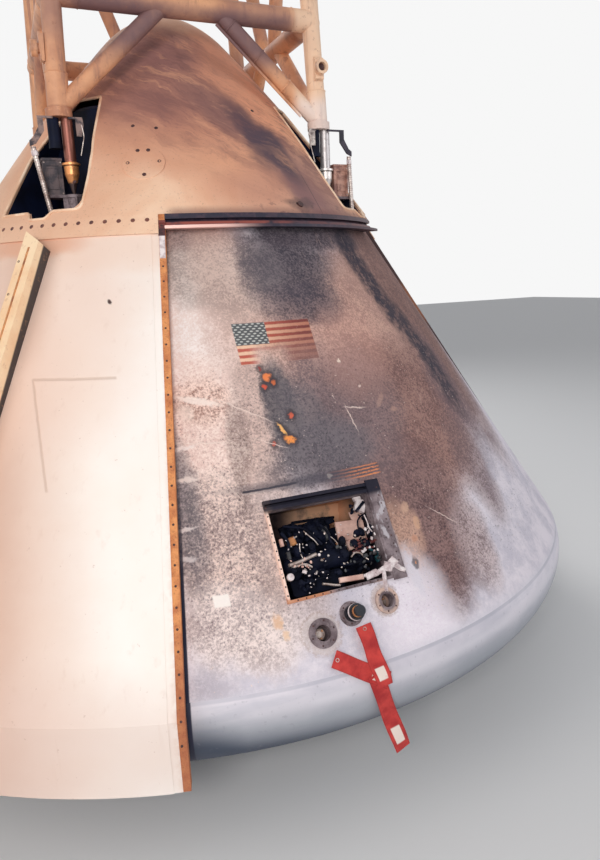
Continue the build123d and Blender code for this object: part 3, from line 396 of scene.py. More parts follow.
# Scratches: two ends as azimuth and height, half width
SCRATCHES = (
    (-10.8, 1.480, -3.4, 1.392, 0.0022),
    (9.4, 1.400, 12.6, 1.388, 0.0026),
    (9.4, 1.400, 9.9, 1.315, 0.0022),
    (-15.8, 1.345, -9.2, 1.335, 0.0018),
    (-6.0, 1.340, -2.0, 1.300, 0.0014),
    (16.4, 1.010, 20.0, 0.930, 0.0016),
    (-12.4, 1.270, -9.0, 1.160, 0.0016),
)
# The flag: distances round the cone and heights of its edges, and the canton's share of width and height
FLAG = (-0.134, 0.186, 1.582, 1.727)
CANTON = (0.405, 7.0 / 13.0)


def flag(f, flat, grain):
    """Painted flag of stripes and a canton of pale dots, faded to the right and scorched away below."""
    x, y = flat
    left, right, low, high = FLAG
    u = f.math("DIVIDE", f.minus(x, left), right - left)
    v = f.math("DIVIDE", f.minus(high, y), high - low)
    inside = f.times(f.band(u, 0.0, 1.0, 0.006), f.band(v, 0.0, 1.0, 0.012))
    # Scorched away in the lower middle, left of the smoke column
    gone = f.times(f.step(f.scaled(grain, 0.24, v), 0.56, 0.90), f.step(f.size(f.minus(u, 0.40)), 0.30, 0.12))
    stripe = f.step(f.math("SINE", f.times(v, 13.0, math.pi)), -0.6, 0.6)
    red = f.mix(f.step(u, 0.2, 1.0), (196, 92, 74), (122, 56, 54))
    pale = f.mix(f.step(u, 0.1, 1.0), (248, 204, 172), (196, 128, 104))
    cloth = f.mix(stripe, pale, red)
    smoke = f.times(f.step(v, 0.30, 1.0), f.step(u, 0.30, 0.70))
    cloth = f.mix(f.times(smoke, 0.75), cloth, (140, 96, 90))
    # The canton's dots, each row half a step on
    row = f.times(v, 9.0 / CANTON[1])
    shift = f.times(f.math("FLOOR", row), 0.5)
    across = f.minus(f.math("FRACT", f.scaled(u, 5.5 / CANTON[0], shift)), 0.5)
    up = f.minus(f.math("FRACT", row), 0.5)
    star = f.step(f.scaled(across, across, f.times(up, up)), 0.12, 0.03)
    union = f.mix(star, (80, 88, 92), (206, 210, 206))
    wide, tall = CANTON
    in_canton = f.times(f.step(u, wide + 0.004, wide - 0.004), f.step(v, tall + 0.01, tall - 0.01))
    cloth = f.mix(in_canton, cloth, union)
    gone = f.times(gone, f.minus(1.0, in_canton))
    shown = f.times(inside, f.minus(1.0, gone), f.step(grain, 0.22, 0.36))
    f.lay(cloth, shown, f.blend(smoke, 0.94, 0.70))


def shield_paint():
    """Grey thermal paint, blistered, scorched brown and sooted by the fire, with painted shade under the channel and
    beside the cork strip.
    """
    f = Finish("shield_paint", roughness=0.75)
    flat = f.unrolled(0.10, 7.0)
    crisp = f.unrolled(0.018, 46.0)
    fringed = f.unrolled(0.024, 60.0)
    azimuth, z = f.around()
    medium = f.noise(7.0, 5.0, 0.6)
    fine = f.noise(44.0, 4.0, 0.7)
    grain = f.noise(120.0, 3.0, 0.75)
    mottle = f.step(f.scaled(medium, 0.30, f.scaled(fine, 0.30, f.times(grain, 0.6))), 0.50, 0.70)
    soft_mottle = f.step(f.scaled(medium, 0.7, f.times(fine, 0.3)), 0.40, 0.62)
    # Clean paint: lavender grey
    f.ground(soft_mottle, (236, 228, 236), (208, 202, 214))
    burnt = 0.0
    for *oval, strength, light, dark in FIELDS:
        mask = f.times(f.patch(flat, *oval), strength)
        f.lay(light, mask)
        f.lay(dark, mask, mottle)
        burnt = f.most(mask, burnt)
    crumbled = f.step(f.noise(26.0, 5.0, 0.7), 0.40, 0.56)
    for oval in SOOT:
        f.lay((48, 44, 58), f.patch(flat, *oval), f.blend(crumbled, 0.45, 1.0), 0.95)
    # Dark specks thin out towards the clean paint
    edge = f.times(f.step(f.scaled(medium, 0.3, z), 0.84, 1.02), f.step(z, 1.72, 1.45))
    speck = f.times(f.step(grain, 0.60, 0.66), edge, f.step(fine, 0.36, 0.55))
    f.lay((78, 66, 72), speck, 0.75)
    flaked = f.times(f.step(f.noise(95.0, 2.0, 0.7), 0.66, 0.72), f.step(f.noise(14.0, 3.0), 0.46, 0.60))
    f.lay((240, 218, 208), flaked, f.step(z, 1.75, 1.5), 0.75)
    # Streaks that run up the wall over the right part
    lean = f.add("CombineXYZ", {0: f.scaled(flat[1], 1.8, f.times(flat[0], 9.0)), 1: flat[1]})
    streak = f.noise(9.0, 4.0, 0.7, at=lean)
    streaked = f.times(f.step(streak, 0.56, 0.70), f.step(azimuth, 8.0, 22.0), f.step(z, 0.9, 1.1))
    f.lay((206, 172, 160), streaked, 0.35)
    flag(f, f.unrolled(0.005, 60.0), grain)
    fine_on, grain_on = f.step(fine, 0.26, 0.46), f.step(grain, 0.30, 0.44)
    for *oval, strength, tone in CHIPS:
        f.lay(tone, f.patch(fringed, *oval, 0.45), strength, fine_on)
    for middle, level, wide, tall, turn, tone in BURNS:
        f.lay((62, 54, 60), f.patch(fringed, middle, level, wide + 0.010, tall + 0.010, turn, 0.35), 0.75)
        f.lay(tone, f.patch(fringed, middle, level, wide, tall, turn, 0.35), grain_on)
    for first, first_z, last, last_z, half in SCRATCHES:
        a = Vector((distance_round(first, first_z), first_z))
        b = Vector((distance_round(last, last_z), last_z))
        middle, along = (a + b) / 2, b - a
        level = math.degrees(middle.x / ((VERTEX_Z - middle.y) * TAN)), middle.y
        turn = math.degrees(math.atan2(along.y, along.x))
        f.lay((240, 218, 208), f.patch(crisp, *level, along.length / 2, half, turn, 0.5), grain_on, 0.8)
    port_stains(f, crisp, grain)
    lintel_marks(f, f.unrolled(0.005, 60.0), grain)
    # Rubbed pale ring over the aft corner
    corner = f.step(f.scaled(medium, 0.05, z), 0.70, 0.66)
    f.lay((214, 212, 222), corner, 0.5)
    # Painted shade in the slit along the lower part of the cork strip
    gap = f.times(f.step(azimuth, MISSING_FROM + 0.42, MISSING_FROM + 0.28), f.step(z, 1.35, 0.90))
    f.lay((28, 32, 58), gap)
    f.rough(f.blend(burnt, 0.68, 0.92))
    return f.done(f.math("ADD", f.times(mottle, 0.6), f.times(grain, 0.6)), 0.0012)


# Stained discs round the service ports: azimuth, height, radius, tone and tone of the rim
PORT_STAINS = (
    (-3.0, 0.757, 0.072, (226, 214, 214), (176, 146, 130)),
    (5.0, 0.800, 0.058, (216, 200, 196), (160, 138, 132)),
)


def port_stains(f, flat, grain):
    """Pale discs with a browned rim round the open ports."""
    for azimuth, z, radius, tone, rim_tone in PORT_STAINS:
        rim = f.patch(flat, azimuth, z, radius, radius * COS, 0, 0.08)
        disc = f.patch(flat, azimuth, z, radius * 0.90, radius * 0.90 * COS, 0, 0.08)
        f.lay(rim_tone, rim, f.step(grain, 0.38, 0.56), 0.45)
        f.lay(tone, disc, 0.6)


def lintel_marks(f, flat, grain):
    """Painted shade of a slot over the access opening and of the step along it, the burnt plate edge at its right and
    a bare square at the left.
    """
    x, y = flat
    level = f.scaled(x, -0.036, y)
    # Painted shade inside the slot, with a pale line under it
    for low, high, tone, strength in ((1.1855, 1.1920, (22, 24, 38), 0.95), (1.1805, 1.1840, (206, 190, 186), 0.5)):
        f.lay(tone, f.band(x, -0.243, -0.045, 0.004), f.band(level, low, high, 0.0015), strength)
    square = f.times(f.band(x, -0.417, -0.365, 0.003), f.band(y, 0.872, 0.904, 0.003))
    f.lay((255, 246, 240), square, f.step(grain, 0.2, 0.36))
    # Painted shade of the step along the lintel
    step_shade = f.patch(flat, 0.8, 1.188, 0.22, 0.012, 0, 0.9)
    f.lay((72, 68, 80), step_shade, 0.7)
    rows = f.step(f.math("SINE", f.times(y, 2 * math.pi / 0.0105)), -0.3, 0.5)
    plate = f.times(f.band(x, 0.060, 0.300, 0.012), f.band(f.scaled(x, 0.02, y), 1.168, 1.206, 0.004))
    plate = f.times(plate, rows, f.step(grain, 0.36, 0.52), f.step(x, 0.04, 0.20))
    hot = f.mix(f.step(x, 0.10, 0.26), (140, 104, 100), (240, 150, 100))
    f.lay(hot, plate, 0.9)


def plain_finish(name, light, dark, scale, roughness, metallic=0.0, soot=0.0, shine=0.5):
    """Two close tones in soft patches, with grime and a fine grain."""
    f = Finish(name, roughness, metallic, shine)
    patch = f.noise(scale, 5.0, 0.6)
    grain = f.noise(scale * 14.0, 3.0, 0.6)
    f.ground(f.step(patch, 0.35, 0.68), light, dark)
    if soot:
        f.lay((38, 32, 34), f.step(f.noise(scale * 0.4, 5.0, 0.65), 0.42, 0.72), soot)
    f.lay(dark, f.step(grain, 0.58, 0.75), 0.35)
    f.rough(f.blend(patch, roughness - 0.08, roughness + 0.1))
    return f.done(grain, 0.0006)


# Smoke patches, pale patches and painted shade of the cover: middle, half width and height, turn, softness, strength,
# tone
COVER_FIELDS = (
    # The first two rows darken the cover round to the left: partly smoke, partly painted shade where it turns from
    # the light
    (-52.0, 1.30, 0.45, 1.00, 0, 0.60, 0.75, (216, 172, 148)),
    (-66.0, 1.60, 0.40, 1.20, 0, 0.60, 0.60, (180, 138, 120)),
    (-34.0, 2.04, 0.60, 0.07, 0, 0.90, 0.50, (244, 208, 184)),
    (-40.0, 1.75, 0.26, 0.30, 0, 0.80, 0.60, (238, 202, 182)),
    (-27.0, 1.95, 0.12, 0.16, 0, 0.90, 0.35, (240, 208, 190)),
    (-44.0, 1.95, 0.08, 0.22, -10, 0.80, 0.45, (206, 168, 148)),
    (-28.0, 0.55, 0.50, 0.14, 0, 0.80, 0.45, (222, 192, 178)),
    (-46.0, 2.050, 0.20, 0.045, 0, 0.50, 0.75, (228, 170, 138)),
    (-46.0, 1.10, 0.20, 0.50, 0, 0.80, 0.35, (226, 186, 164)),
)


def cover_paint():
    """Cream white paint on the soft boost cover, tan round to the left: partly smoke, partly painted shade."""
    f = Finish("cover_paint", roughness=0.7)
    flat = f.unrolled(0.10, 5.0)
    x, y = f.unrolled(0.004, 30.0)
    azimuth, z = f.around()
    broad = f.noise(1.3, 4.0, 0.6)
    fine = f.noise(36.0, 4.0, 0.65)
    f.ground(f.step(broad, 0.35, 0.7), (255, 248, 242), (252, 240, 230))
    for *oval, strength, tone in COVER_FIELDS:
        f.lay(tone, f.patch(flat, *oval), strength)
    drips = f.noise(5.0, 3.0, 0.6, at=f.stretched(6, 6, 0.6))
    f.lay((204, 166, 146), f.step(drips, 0.58, 0.8), 0.16)
    specks = f.times(f.step(f.noise(60.0, 2.0, 0.7), 0.70, 0.76), 0.35)
    f.lay((186, 150, 132), specks)
    # The cover behind is evenly smoked
    f.lay((198, 164, 146), f.step(f.size(azimuth), 80.0, 130.0), f.step(f.scaled(broad, 0.8, z), 1.2, 2.6), 0.45)
    # Sunk outline of an access panel, a small torn hole and the stain along the cut edge
    frame_line = f.times(f.band(y, 1.569, 1.577, 0.003), f.band(x, -0.87, -0.57, 0.004))
    frame_side = f.times(f.band(x, -0.872, -0.864, 0.003), f.band(y, 1.23, 1.575, 0.004))
    groove = f.most(frame_line, frame_side)
    f.lay((190, 156, 138), groove, 0.45)
    hole = f.patch(f.unrolled(0.010, 60.0), -26.6, 1.829, 0.006, 0.008, 20, 0.5)
    f.lay((70, 46, 44), hole)
    edge = f.times(f.step(azimuth, -18.2, -16.7), f.step(azimuth, 0.0, -10.0), f.step(fine, 0.35, 0.6), 0.55)
    f.lay((206, 150, 120), edge)
    return f.done(f.minus(f.times(f.noise(24.0, 4.0, 0.6), 0.25), groove), 0.0014)


# Smoke fields of the nose: azimuth, height, half width and height in metres, turn, softness, strength, tone
NOSE_FIELDS = (
    (-4.0, 2.640, 0.80, 0.26, 0, 0.60, 0.85, (226, 156, 122)),
    (6.0, 2.300, 0.24, 0.12, 0, 0.80, 0.70, (230, 166, 132)),
    (-50.0, 2.250, 0.30, 0.20, 0, 0.80, 0.65, (222, 168, 136)),
    (14.0, 2.240, 0.20, 0.10, 0, 0.80, 0.60, (192, 132, 112)),
    (18.0, 2.840, 0.12, 0.16, 0, 0.80, 0.85, (240, 164, 130)),
    (29.0, 2.770, 0.18, 0.22, 0, 0.80, 0.80, (240, 168, 132)),
    (-28.0, 2.760, 0.20, 0.20, 0, 0.80, 0.75, (150, 102, 98)),
    (-16.0, 2.920, 0.16, 0.10, 0, 0.80, 0.75, (150, 102, 104)),
    (-9.0, 2.600, 0.22, 0.11, -24, 0.80, 0.55, (170, 114, 98)),
    (-20.0, 2.430, 0.22, 0.08, -20, 0.90, 0.35, (204, 150, 122)),
    (8.0, 2.580, 0.18, 0.06, -40, 0.80, 0.75, (112, 80, 84)),
    (23.0, 2.310, 0.07, 0.17, 28, 0.80, 0.85, (122, 88, 92)),
    (29.0, 2.230, 0.12, 0.14, 0, 0.80, 0.85, (134, 96, 98)),
    (18.0, 2.470, 0.20, 0.050, -55, 0.60, 0.97, (68, 52, 68)),
    (42.0, 2.500, 0.20, 0.08, -50, 0.80, 0.70, (230, 164, 128)),
    (60.0, 2.450, 0.30, 0.30, 0, 0.80, 0.60, (216, 156, 124)),
    (-34.0, 2.900, 0.40, 0.30, 0, 0.80, 0.45, (150, 104, 94)),
)


def nose_paint():
    """Tan paint, smoked brown in long streaks towards the top and the right."""
    f = Finish("nose_paint", roughness=0.65)
    flat = f.unrolled(0.14, 4.0)
    azimuth, z = f.around()
    broad = f.noise(2.2, 5.0, 0.62, warp=0.6)
    fine = f.noise(30.0, 5.0, 0.65)
    grain = f.noise(110.0, 3.0, 0.7)
    f.ground(f.step(broad, 0.38, 0.62), (252, 216, 186), (242, 194, 160))
    for *oval, strength, tone in NOSE_FIELDS:
        f.lay(tone, f.patch(flat, *oval), strength)
    # Long streaks that lean down to the right
    x, y = flat
    across = f.scaled(x, 1.6, f.times(y, -0.9))
    down = f.scaled(x, 3.8, f.times(y, 7.1))
    lean = f.add("CombineXYZ", {0: across, 1: down})
    streak = f.noise(2.0, 4.0, 0.60, at=lean)
    calm = f.patch(flat, 27.0, 2.860, 0.15, 0.20, 0, 0.7)
    high_part = f.times(f.step(f.scaled(azimuth, 0.006, z), 2.20, 2.62), f.blend(calm, 1.0, 0.25))
    high_part = f.times(high_part, f.step(f.size(azimuth), 165.0, 115.0), f.step(z, 3.06, 2.96))
    f.lay((128, 86, 82), f.step(streak, 0.46, 0.66), high_part, 0.75)
    f.lay((238, 176, 140), f.step(streak, 0.46, 0.34), high_part, 0.45)
    closer = f.add("VectorMath", {0: lean, 1: (3.1, 3.1, 3.1)}, operation="MULTIPLY")
    smut = f.step(f.noise(2.6, 5.0, 0.66, at=closer), 0.48, 0.68)
    f.lay((126, 86, 84), smut, high_part, 0.60)
    patchy = f.blend(f.step(streak, 0.60, 0.42), 0.95, 0.70)
    f.lay((74, 56, 70), f.patch(flat, 16.5, 2.455, 0.060, 0.090, -25, 0.7), patchy)
    low_smut = f.times(f.step(fine, 0.54, 0.66), f.step(z, 2.25, 2.16), f.step(azimuth, 0.0, 12.0))
    f.lay((104, 74, 74), low_smut, 0.6)
    around_back = f.times(f.step(f.size(azimuth), 60.0, 110.0), f.step(broad, 0.3, 0.7), 0.65)
    f.lay((178, 132, 112), around_back)
    nub = f.patch(flat, 18.0, 2.19, 0.060, 0.018, 0, 0.8)
    f.lay((48, 40, 50), nub, f.blend(fine, 0.3, 0.9))
    # Seam down the lower right and the sooty rim over the channel
    seam = f.times(f.band(f.scaled(z, -4.5, azimuth), 14.20, 14.42, 0.06), f.step(z, 2.33, 2.32))
    f.lay((70, 52, 54), seam, 0.8)
    rim = f.times(f.step(z, 2.185, 2.150), f.step(azimuth, -17.5, -14.0), f.step(azimuth, 62.0, 50.0), 0.6)
    f.lay((116, 74, 72), rim)
    f.lay((120, 86, 80), f.step(grain, 0.60, 0.70), 0.35)
    return f.done(f.math("ADD", f.times(fine, 0.5), f.times(grain, 0.5)), 0.0010)


def aft_ablator():
    """Smooth lavender grey of the aft heat shield, with faint rings; painted shade darkens it towards the bottom and
    in the slit beside the cork strip.
    """
    f = Finish("aft_ablator", roughness=0.62)
    azimuth, z = f.around()
    patch = f.noise(3.0, 5.0, 0.6)
    flow = f.noise(3.0, 4.0, 0.6, at=f.stretched(1, 1, 7))
    grain = f.noise(60.0, 3.0, 0.6)
    f.ground(f.step(patch, 0.35, 0.68), (232, 226, 234), (206, 202, 212))
    f.lay((178, 180, 194), f.step(flow, 0.48, 0.70), 0.3)
    # Painted shade: darker towards the bottom of the dish, higher up on the left, where its underside gets no light
    leftward = f.most(f.times(f.step(azimuth, 10.0, -20.0), 0.6), f.step(azimuth, -6.0, -17.0))
    low = f.scaled(leftward, -0.045, z)
    f.lay((140, 148, 156), f.step(low, 0.63, 0.49), 0.75)
    lowest = f.scaled(leftward, -0.13, z)
    f.lay((48, 60, 80), f.step(lowest, 0.50, 0.36), 0.95)
    seam = f.band(z, 0.634, 0.646, 0.003)
    f.lay((150, 152, 168), seam, 0.35)
    rubbed = f.times(f.band(z, 0.57, 0.60, 0.02), f.step(patch, 0.4, 0.6), 0.4)
    f.lay((240, 236, 242), rubbed)
    f.lay((128, 128, 142), f.step(grain, 0.62, 0.72), 0.25)
    # Painted shade in the slit beside the cork strip
    gap = f.step(azimuth, MISSING_FROM + 0.50, MISSING_FROM + 0.36)
    f.lay((28, 32, 58), gap)
    return f.done(f.math("ADD", patch, f.times(grain, 0.3)), 0.0006)


def channel_paint():
    """Purple black channel with a reddish line and a painted highlight on the lower lip at its left end."""
    f = Finish("channel_paint", roughness=0.5, metallic=0.2)
    azimuth, z = f.around()
    grain = f.noise(40.0, 4.0, 0.65)
    run = f.noise(9.0, 3.0, 0.6)
    f.ground(f.step(grain, 0.4, 0.65), (36, 32, 50), (66, 50, 64))
    f.lay((96, 62, 66), f.step(azimuth, 12.0, 44.0), 0.45)
    fading = f.blend(f.step(azimuth, 0.0, 18.0), 1.0, 0.3)
    line = f.times(f.band(z, 2.104, 2.116, 0.003), f.step(run, 0.32, 0.5), fading)
    f.lay((150, 76, 66), line)
    # Painted highlight where the lower lip's top catches the light, at the left end
    lip = f.times(f.step(z, 2.1045, 2.1015), f.step(run, 0.25, 0.42), f.step(azimuth, 6.0, -6.0))
    f.lay((240, 196, 186), lip)
    return f.done(grain, 0.0006)


def edge_cork():
    """Scorched orange cork of the seam strips, sooty brown on the strip at the right."""
    f = Finish("edge_cork", roughness=0.85)
    azimuth, z = f.around()
    patch = f.noise(22.0, 5.0, 0.65)
    grain = f.noise(160.0, 3.0, 0.7)
    f.ground(f.step(patch, 0.35, 0.66), (232, 158, 100), (196, 118, 74))
    f.lay((150, 84, 66), f.step(z, 0.95, 0.65), 0.55)
    f.lay((130, 74, 52), f.step(grain, 0.54, 0.68), 0.5)
    sooty = f.mix(f.times(f.band(z, 1.62, 1.82, 0.05), 0.6), (74, 54, 54), (176, 116, 84))
    f.lay(sooty, f.step(azimuth, 20.0, 40.0))
    return f.done(grain, 0.0010)


# Metal under the tower's feet, its tones painted light and shade by place:
# light and dark tone at the left, near to and far from the right leg's middle
FOOT_METALS = {
    "arm_smoke_and_shade": (((138, 114, 108), (40, 34, 44)), ((226, 214, 206), (96, 80, 80)), ((60, 52, 66), (24, 22, 36))),
    "box_smoke_and_shade": (((96, 80, 82), (44, 38, 48)), ((60, 54, 64), (34, 30, 40)), ((206, 158, 140), (140, 98, 90))),
}


def foot_metal(name):
    """Smoked metal under the tower's feet, lit and shaded by place in painted light and shade."""
    f = Finish(name, roughness=0.5, metallic=0.1)
    x = f.parts()[0]
    patch = f.noise(26.0, 5.0, 0.65)
    mottle = f.step(patch, 0.40, 0.62)
    left, near, far = (f.mix(mottle, *tones) for tones in FOOT_METALS[name])
    f.ground(f.step(x, -0.05, 0.05), left, f.mix(f.step(x, 0.60, 0.62), near, far))
    return f.done(patch, 0.0008)


def duct_paint():
    """Yellowish tan on the duct, with painted shade in near black on its right wall, wider towards the upper end."""
    f = Finish("duct_paint", roughness=0.65)
    x, y, z = f.parts()
    patch = f.noise(4.0, 5.0, 0.6)
    grain = f.noise(50.0, 4.0, 0.65)
    f.ground(f.step(patch, 0.36, 0.66), (255, 226, 188), (244, 200, 156))
    normal = f.tree.nodes.new("ShaderNodeNewGeometry").outputs["Normal"]
    rightward = tuple(wall(DUCT_AZIMUTH, 1.4).col[0][:3])
    facing_right = f.add("VectorMath", {0: normal, 1: rightward}, output="Value", operation="DOT_PRODUCT")
    radius = f.math("SQRT", f.scaled(x, x, f.times(y, y)))
    out = f.scaled(f.scaled(z, TAN, radius), COS, -VERTEX_Z * TAN * COS)
    # Painted shade in near black on the wall that faces right, away from the light; it reaches farther out from the
    # cover towards the upper end
    wall_height = f.scaled(z, -0.037, out)
    side = f.times(f.step(f.scaled(patch, 0.2, facing_right), 0.40, 0.70), f.step(wall_height, 0.020, 0.012))
    f.lay((30, 26, 38), side, 0.95)
    f.lay((196, 146, 110), f.step(grain, 0.58, 0.70), 0.35)
    return f.done(grain, 0.0006)


def tower_paint():
    """Tan paint of the tower's tubes, browner on the collars and under the rails."""
    f = Finish("tower_paint", roughness=0.5)
    x, y, z = f.parts()
    patch = f.noise(3.4, 5.0, 0.62)
    grain = f.noise(52.0, 4.0, 0.65)
    runs = f.noise(7.0, 4.0, 0.6, at=f.stretched(4, 4, 0.5))
    f.ground(f.step(patch, 0.36, 0.66), (232, 172, 130), (196, 138, 106))
    front = f.step(y, -0.40, -0.46)
    right_leg = f.times(f.step(x, 0.44, 0.50), front)
    f.lay((252, 216, 184), right_leg, 0.85)
    f.lay((140, 98, 88), f.step(runs, 0.52, 0.70), 0.55)
    smoke = f.times(f.step(f.noise(2.4, 4.0, 0.6), 0.42, 0.62), f.step(z, 2.72, 2.95))
    f.lay((134, 98, 96), smoke, f.blend(right_leg, 0.5, 0.15))
    # Soot on the upper ends of the two front braces over the feet
    braces = f.times(f.band(x, -0.50, 0.46, 0.04), f.step(z, 2.76, 2.90), f.step(z, 3.06, 3.01), front)
    f.lay((112, 84, 88), braces, f.blend(f.step(patch, 0.3, 0.6), 0.55, 0.90))
    left_leg = f.times(f.step(x, -0.46, -0.52), front, f.step(z, 2.80, 3.00))
    f.lay((112, 80, 88), left_leg, 0.25)
    collar = f.times(f.band(z, 2.566, 2.612, 0.006), f.step(grain, 0.25, 0.5))
    f.lay((150, 86, 62), collar, 0.55)
    f.lay((250, 234, 228), right_leg, f.step(z, 2.74, 2.66), 0.65)
    f.lay((150, 100, 80), f.step(grain, 0.60, 0.70), 0.4)
    f.rough(f.blend(patch, 0.42, 0.62))
    return f.done(grain, 0.0004)


def stud_bronze():
    """Bolt over an orange cup on the left studs, grey with a pale cup on the right ones."""
    f = Finish("stud_bronze", roughness=0.4, metallic=0.55)
    x, _, z = f.parts()
    grain = f.noise(50.0, 4.0, 0.6)
    left = f.step(x, 0.02, -0.02)
    bolt = f.mix(left, (190, 184, 184), (132, 80, 68))
    cup = f.mix(left, (238, 230, 226), (232, 158, 100))
    f.ground(f.step(z, 2.402, 2.394), bolt, cup)
    f.lay((60, 40, 38), f.band(z, 2.380, 2.386, 0.002), 0.7)
    f.lay((88, 70, 68), f.step(z, 2.322, 2.310))
    f.lay((84, 56, 48), f.step(grain, 0.52, 0.7), 0.5)
    return f.done(grain, 0.0005)


def bay_metal(name, light, dark, hot):
    """Smoke stained sheet, with a painted pool of warm light behind the upper part of the bay."""
    f = Finish(name, roughness=0.55, metallic=0.1)
    patch = f.noise(8.0, 5.0, 0.65)
    grain = f.noise(60.0, 4.0, 0.7)
    f.ground(f.step(patch, 0.36, 0.66), light, dark)
    f.lay((40, 32, 34), f.step(grain, 0.55, 0.68), 0.5)
    # Painted light: the hot tone, as a warm bright pool behind the upper part of the bay
    painted_light_pool = f.times(f.near(bay(0.11, 0.160, 0.26), 0.12, 0.07), f.step(patch, 0.24, 0.44))
    f.lay(hot, painted_light_pool)
    return f.done(grain, 0.0008)


def port_paint():
    """Greyish pink flanges and frame of the ports and of the access opening."""
    f = Finish("port_paint", roughness=0.6, metallic=0.15, shine=0.15)
    patch = f.noise(14.0, 5.0, 0.65)
    grain = f.noise(70.0, 4.0, 0.7)
    x, y, z = f.parts()
    f.ground(f.step(patch, 0.36, 0.66), (150, 136, 140), (98, 84, 88))
    f.lay((62, 50, 54), f.step(grain, 0.52, 0.66), 0.6)
    left_rim = f.times(f.step(x, -0.150, -0.175), f.step(y, -1.4, -1.6), f.step(z, 0.85, 0.87))
    f.lay((250, 216, 200), left_rim, f.step(grain, 0.30, 0.45))
    # The frame's head is painted near-black navy
    head = f.times(f.step(z, 1.105, 1.125), f.step(y, -1.0, -1.3))
    f.lay((22, 24, 40), head, 0.95)
    # The jamb at the right is blotched, with painted highlights in bright upright streaks
    rubbed = f.step(f.noise(20.0, 4.0, 0.6, at=f.stretched(1, 1, 0.25)), 0.54, 0.62)
    jamb = f.times(f.step(x, 0.14, 0.16), f.step(z, 0.90, 0.94), f.step(z, 1.125, 1.105))
    f.lay((196, 190, 196), jamb, rubbed, 0.8)
    # The right port's flange is stained tan
    middle = wall(*PORTS[2][:2]).to_translation()
    flange = f.minus(f.near(middle, 0.070, 0.006), f.near(middle, 0.034, 0.004))
    f.lay((214, 184, 170), flange, f.blend(f.step(patch, 0.42, 0.58), 0.45, 0.9), f.step(grain, 0.25, 0.45))
    # The frame's sill is scorched orange
    sill = f.times(f.step(z, 0.875, 0.865), f.step(z, 0.84, 0.85), f.step(x, 0.0, -0.06))
    f.lay((206, 138, 98), sill, 0.8)
    return f.done(grain, 0.0006)


def streamer_cloth():
    """Faded red cloth with a bare white square near its lower end."""
    f = Finish("streamer_cloth", roughness=0.85)
    weave = f.add("TexWave", {"Vector": f.at, "Scale": 260.0, "Distortion": 1.0}, output=1)
    patch = f.noise(18.0, 4.0, 0.6)
    tex = f.tree.nodes.new("ShaderNodeUVMap").outputs[0]
    u, v, _ = f.parts(tex)
    f.ground(f.step(patch, 0.35, 0.7), (206, 66, 60), (168, 40, 42))
    square = f.times(f.band(u, 0.22, 0.78, 0.02), f.band(v, 0.10, 0.30, 0.01))
    f.lay((238, 222, 212), square, f.step(patch, 0.25, 0.4))
    hem = f.most(f.step(u, 0.06, 0.04), f.step(u, 0.94, 0.96))
    f.lay((120, 30, 32), hem, 0.35)
    return f.done(weave, 0.0002, 0.5)


def on_skin(azimuth, radius, z, level, up, out=0.0):
    """Matrix of a place on a skin round the axis: X round it, Y up its slope, Z out of it, level by up."""
    a = math.radians(azimuth)
    axis_x = Vector((math.cos(a), math.sin(a), 0.0))
    axis_z = Vector((level * math.sin(a), -level * math.cos(a), up))
    spot = Vector((radius * math.sin(a), -radius * math.cos(a), z)) + axis_z * out
    return Matrix.Translation(spot) @ Matrix((axis_x, axis_z.cross(axis_x), axis_z)).transposed().to_4x4()


def wall(azimuth, z, out=0.0):
    """Matrix of a place on the cone."""
    return on_skin(azimuth, (VERTEX_Z - z) * TAN, z, COS, SIN, out)


ACCESS = wall(0.5, 1.003)
# How far a piece in the bay moves right and up for each metre that it stands behind the opening,
# to stay in one place of the picture
BAY_SHIFT = (0.446, 0.152)


def bay(x, y, depth):
    """Point in the bay: across, up the slope and in."""
    return tuple(ACCESS @ Vector((x, y, -depth)))


def seen(x, y, depth):
    """Point in the bay that shows at x, y of the opening's plane."""
    return Vector((x + BAY_SHIFT[0] * depth, y + BAY_SHIFT[1] * depth, -depth))


def nose(azimuth, z, out=0.0):
    """Matrix of a place on the nose cap's long arc."""
    radius = NOSE_CENTRE_R + math.sqrt(NOSE_ARC * NOSE_ARC - (z - NOSE_CENTRE_Z) ** 2)
    level, up = (radius - NOSE_CENTRE_R) / NOSE_ARC, (z - NOSE_CENTRE_Z) / NOSE_ARC
    return on_skin(azimuth, radius, z, level, up, out)


def leg(corner, z):
    """Point on a leg's axis; corners count from the left front one, anticlockwise seen from above."""
    share = (z - FOOT[2]) / (TOP[2] - FOOT[2])
    x = FOOT[0] + (TOP[0] - FOOT[0]) * share
    y = FOOT[1] + (TOP[1] - FOOT[1]) * share
    sign_x, sign_y = ((-1, -1), (1, -1), (1, 1), (-1, 1))[corner % 4]
    return Vector((sign_x * x, sign_y * y, z))


def facing(point, direction):
    """Matrix at a point with its Z along a direction."""
    return Matrix.Translation(point) @ Vector(direction).to_track_quat("Z", "Y").to_matrix().to_4x4()


def shifted(x, y, z=0.0):
    return Matrix.Translation((x, y, z))


def turned(degrees, axis="Z"):
    return Matrix.Rotation(math.radians(degrees), 4, axis)


def circle(place, count, radius, start=0.0, out=0.0):
    """Places evenly round a circle on a place's plane."""
    for i in range(count):
        angle = math.radians(360.0 * i / count + start)
        yield place @ shifted(radius * math.cos(angle), radius * math.sin(angle), out)


# Modelling by hand

def pick(*chosen):
    """Only these objects selected, the last one active."""
    if bpy.context.object and bpy.context.object.mode == "EDIT":
        bpy.ops.object.mode_set(mode="OBJECT")
    bpy.ops.object.select_all(action="DESELECT")
    for obj in chosen:
        obj.select_set(True)
        bpy.context.view_layer.objects.active = obj


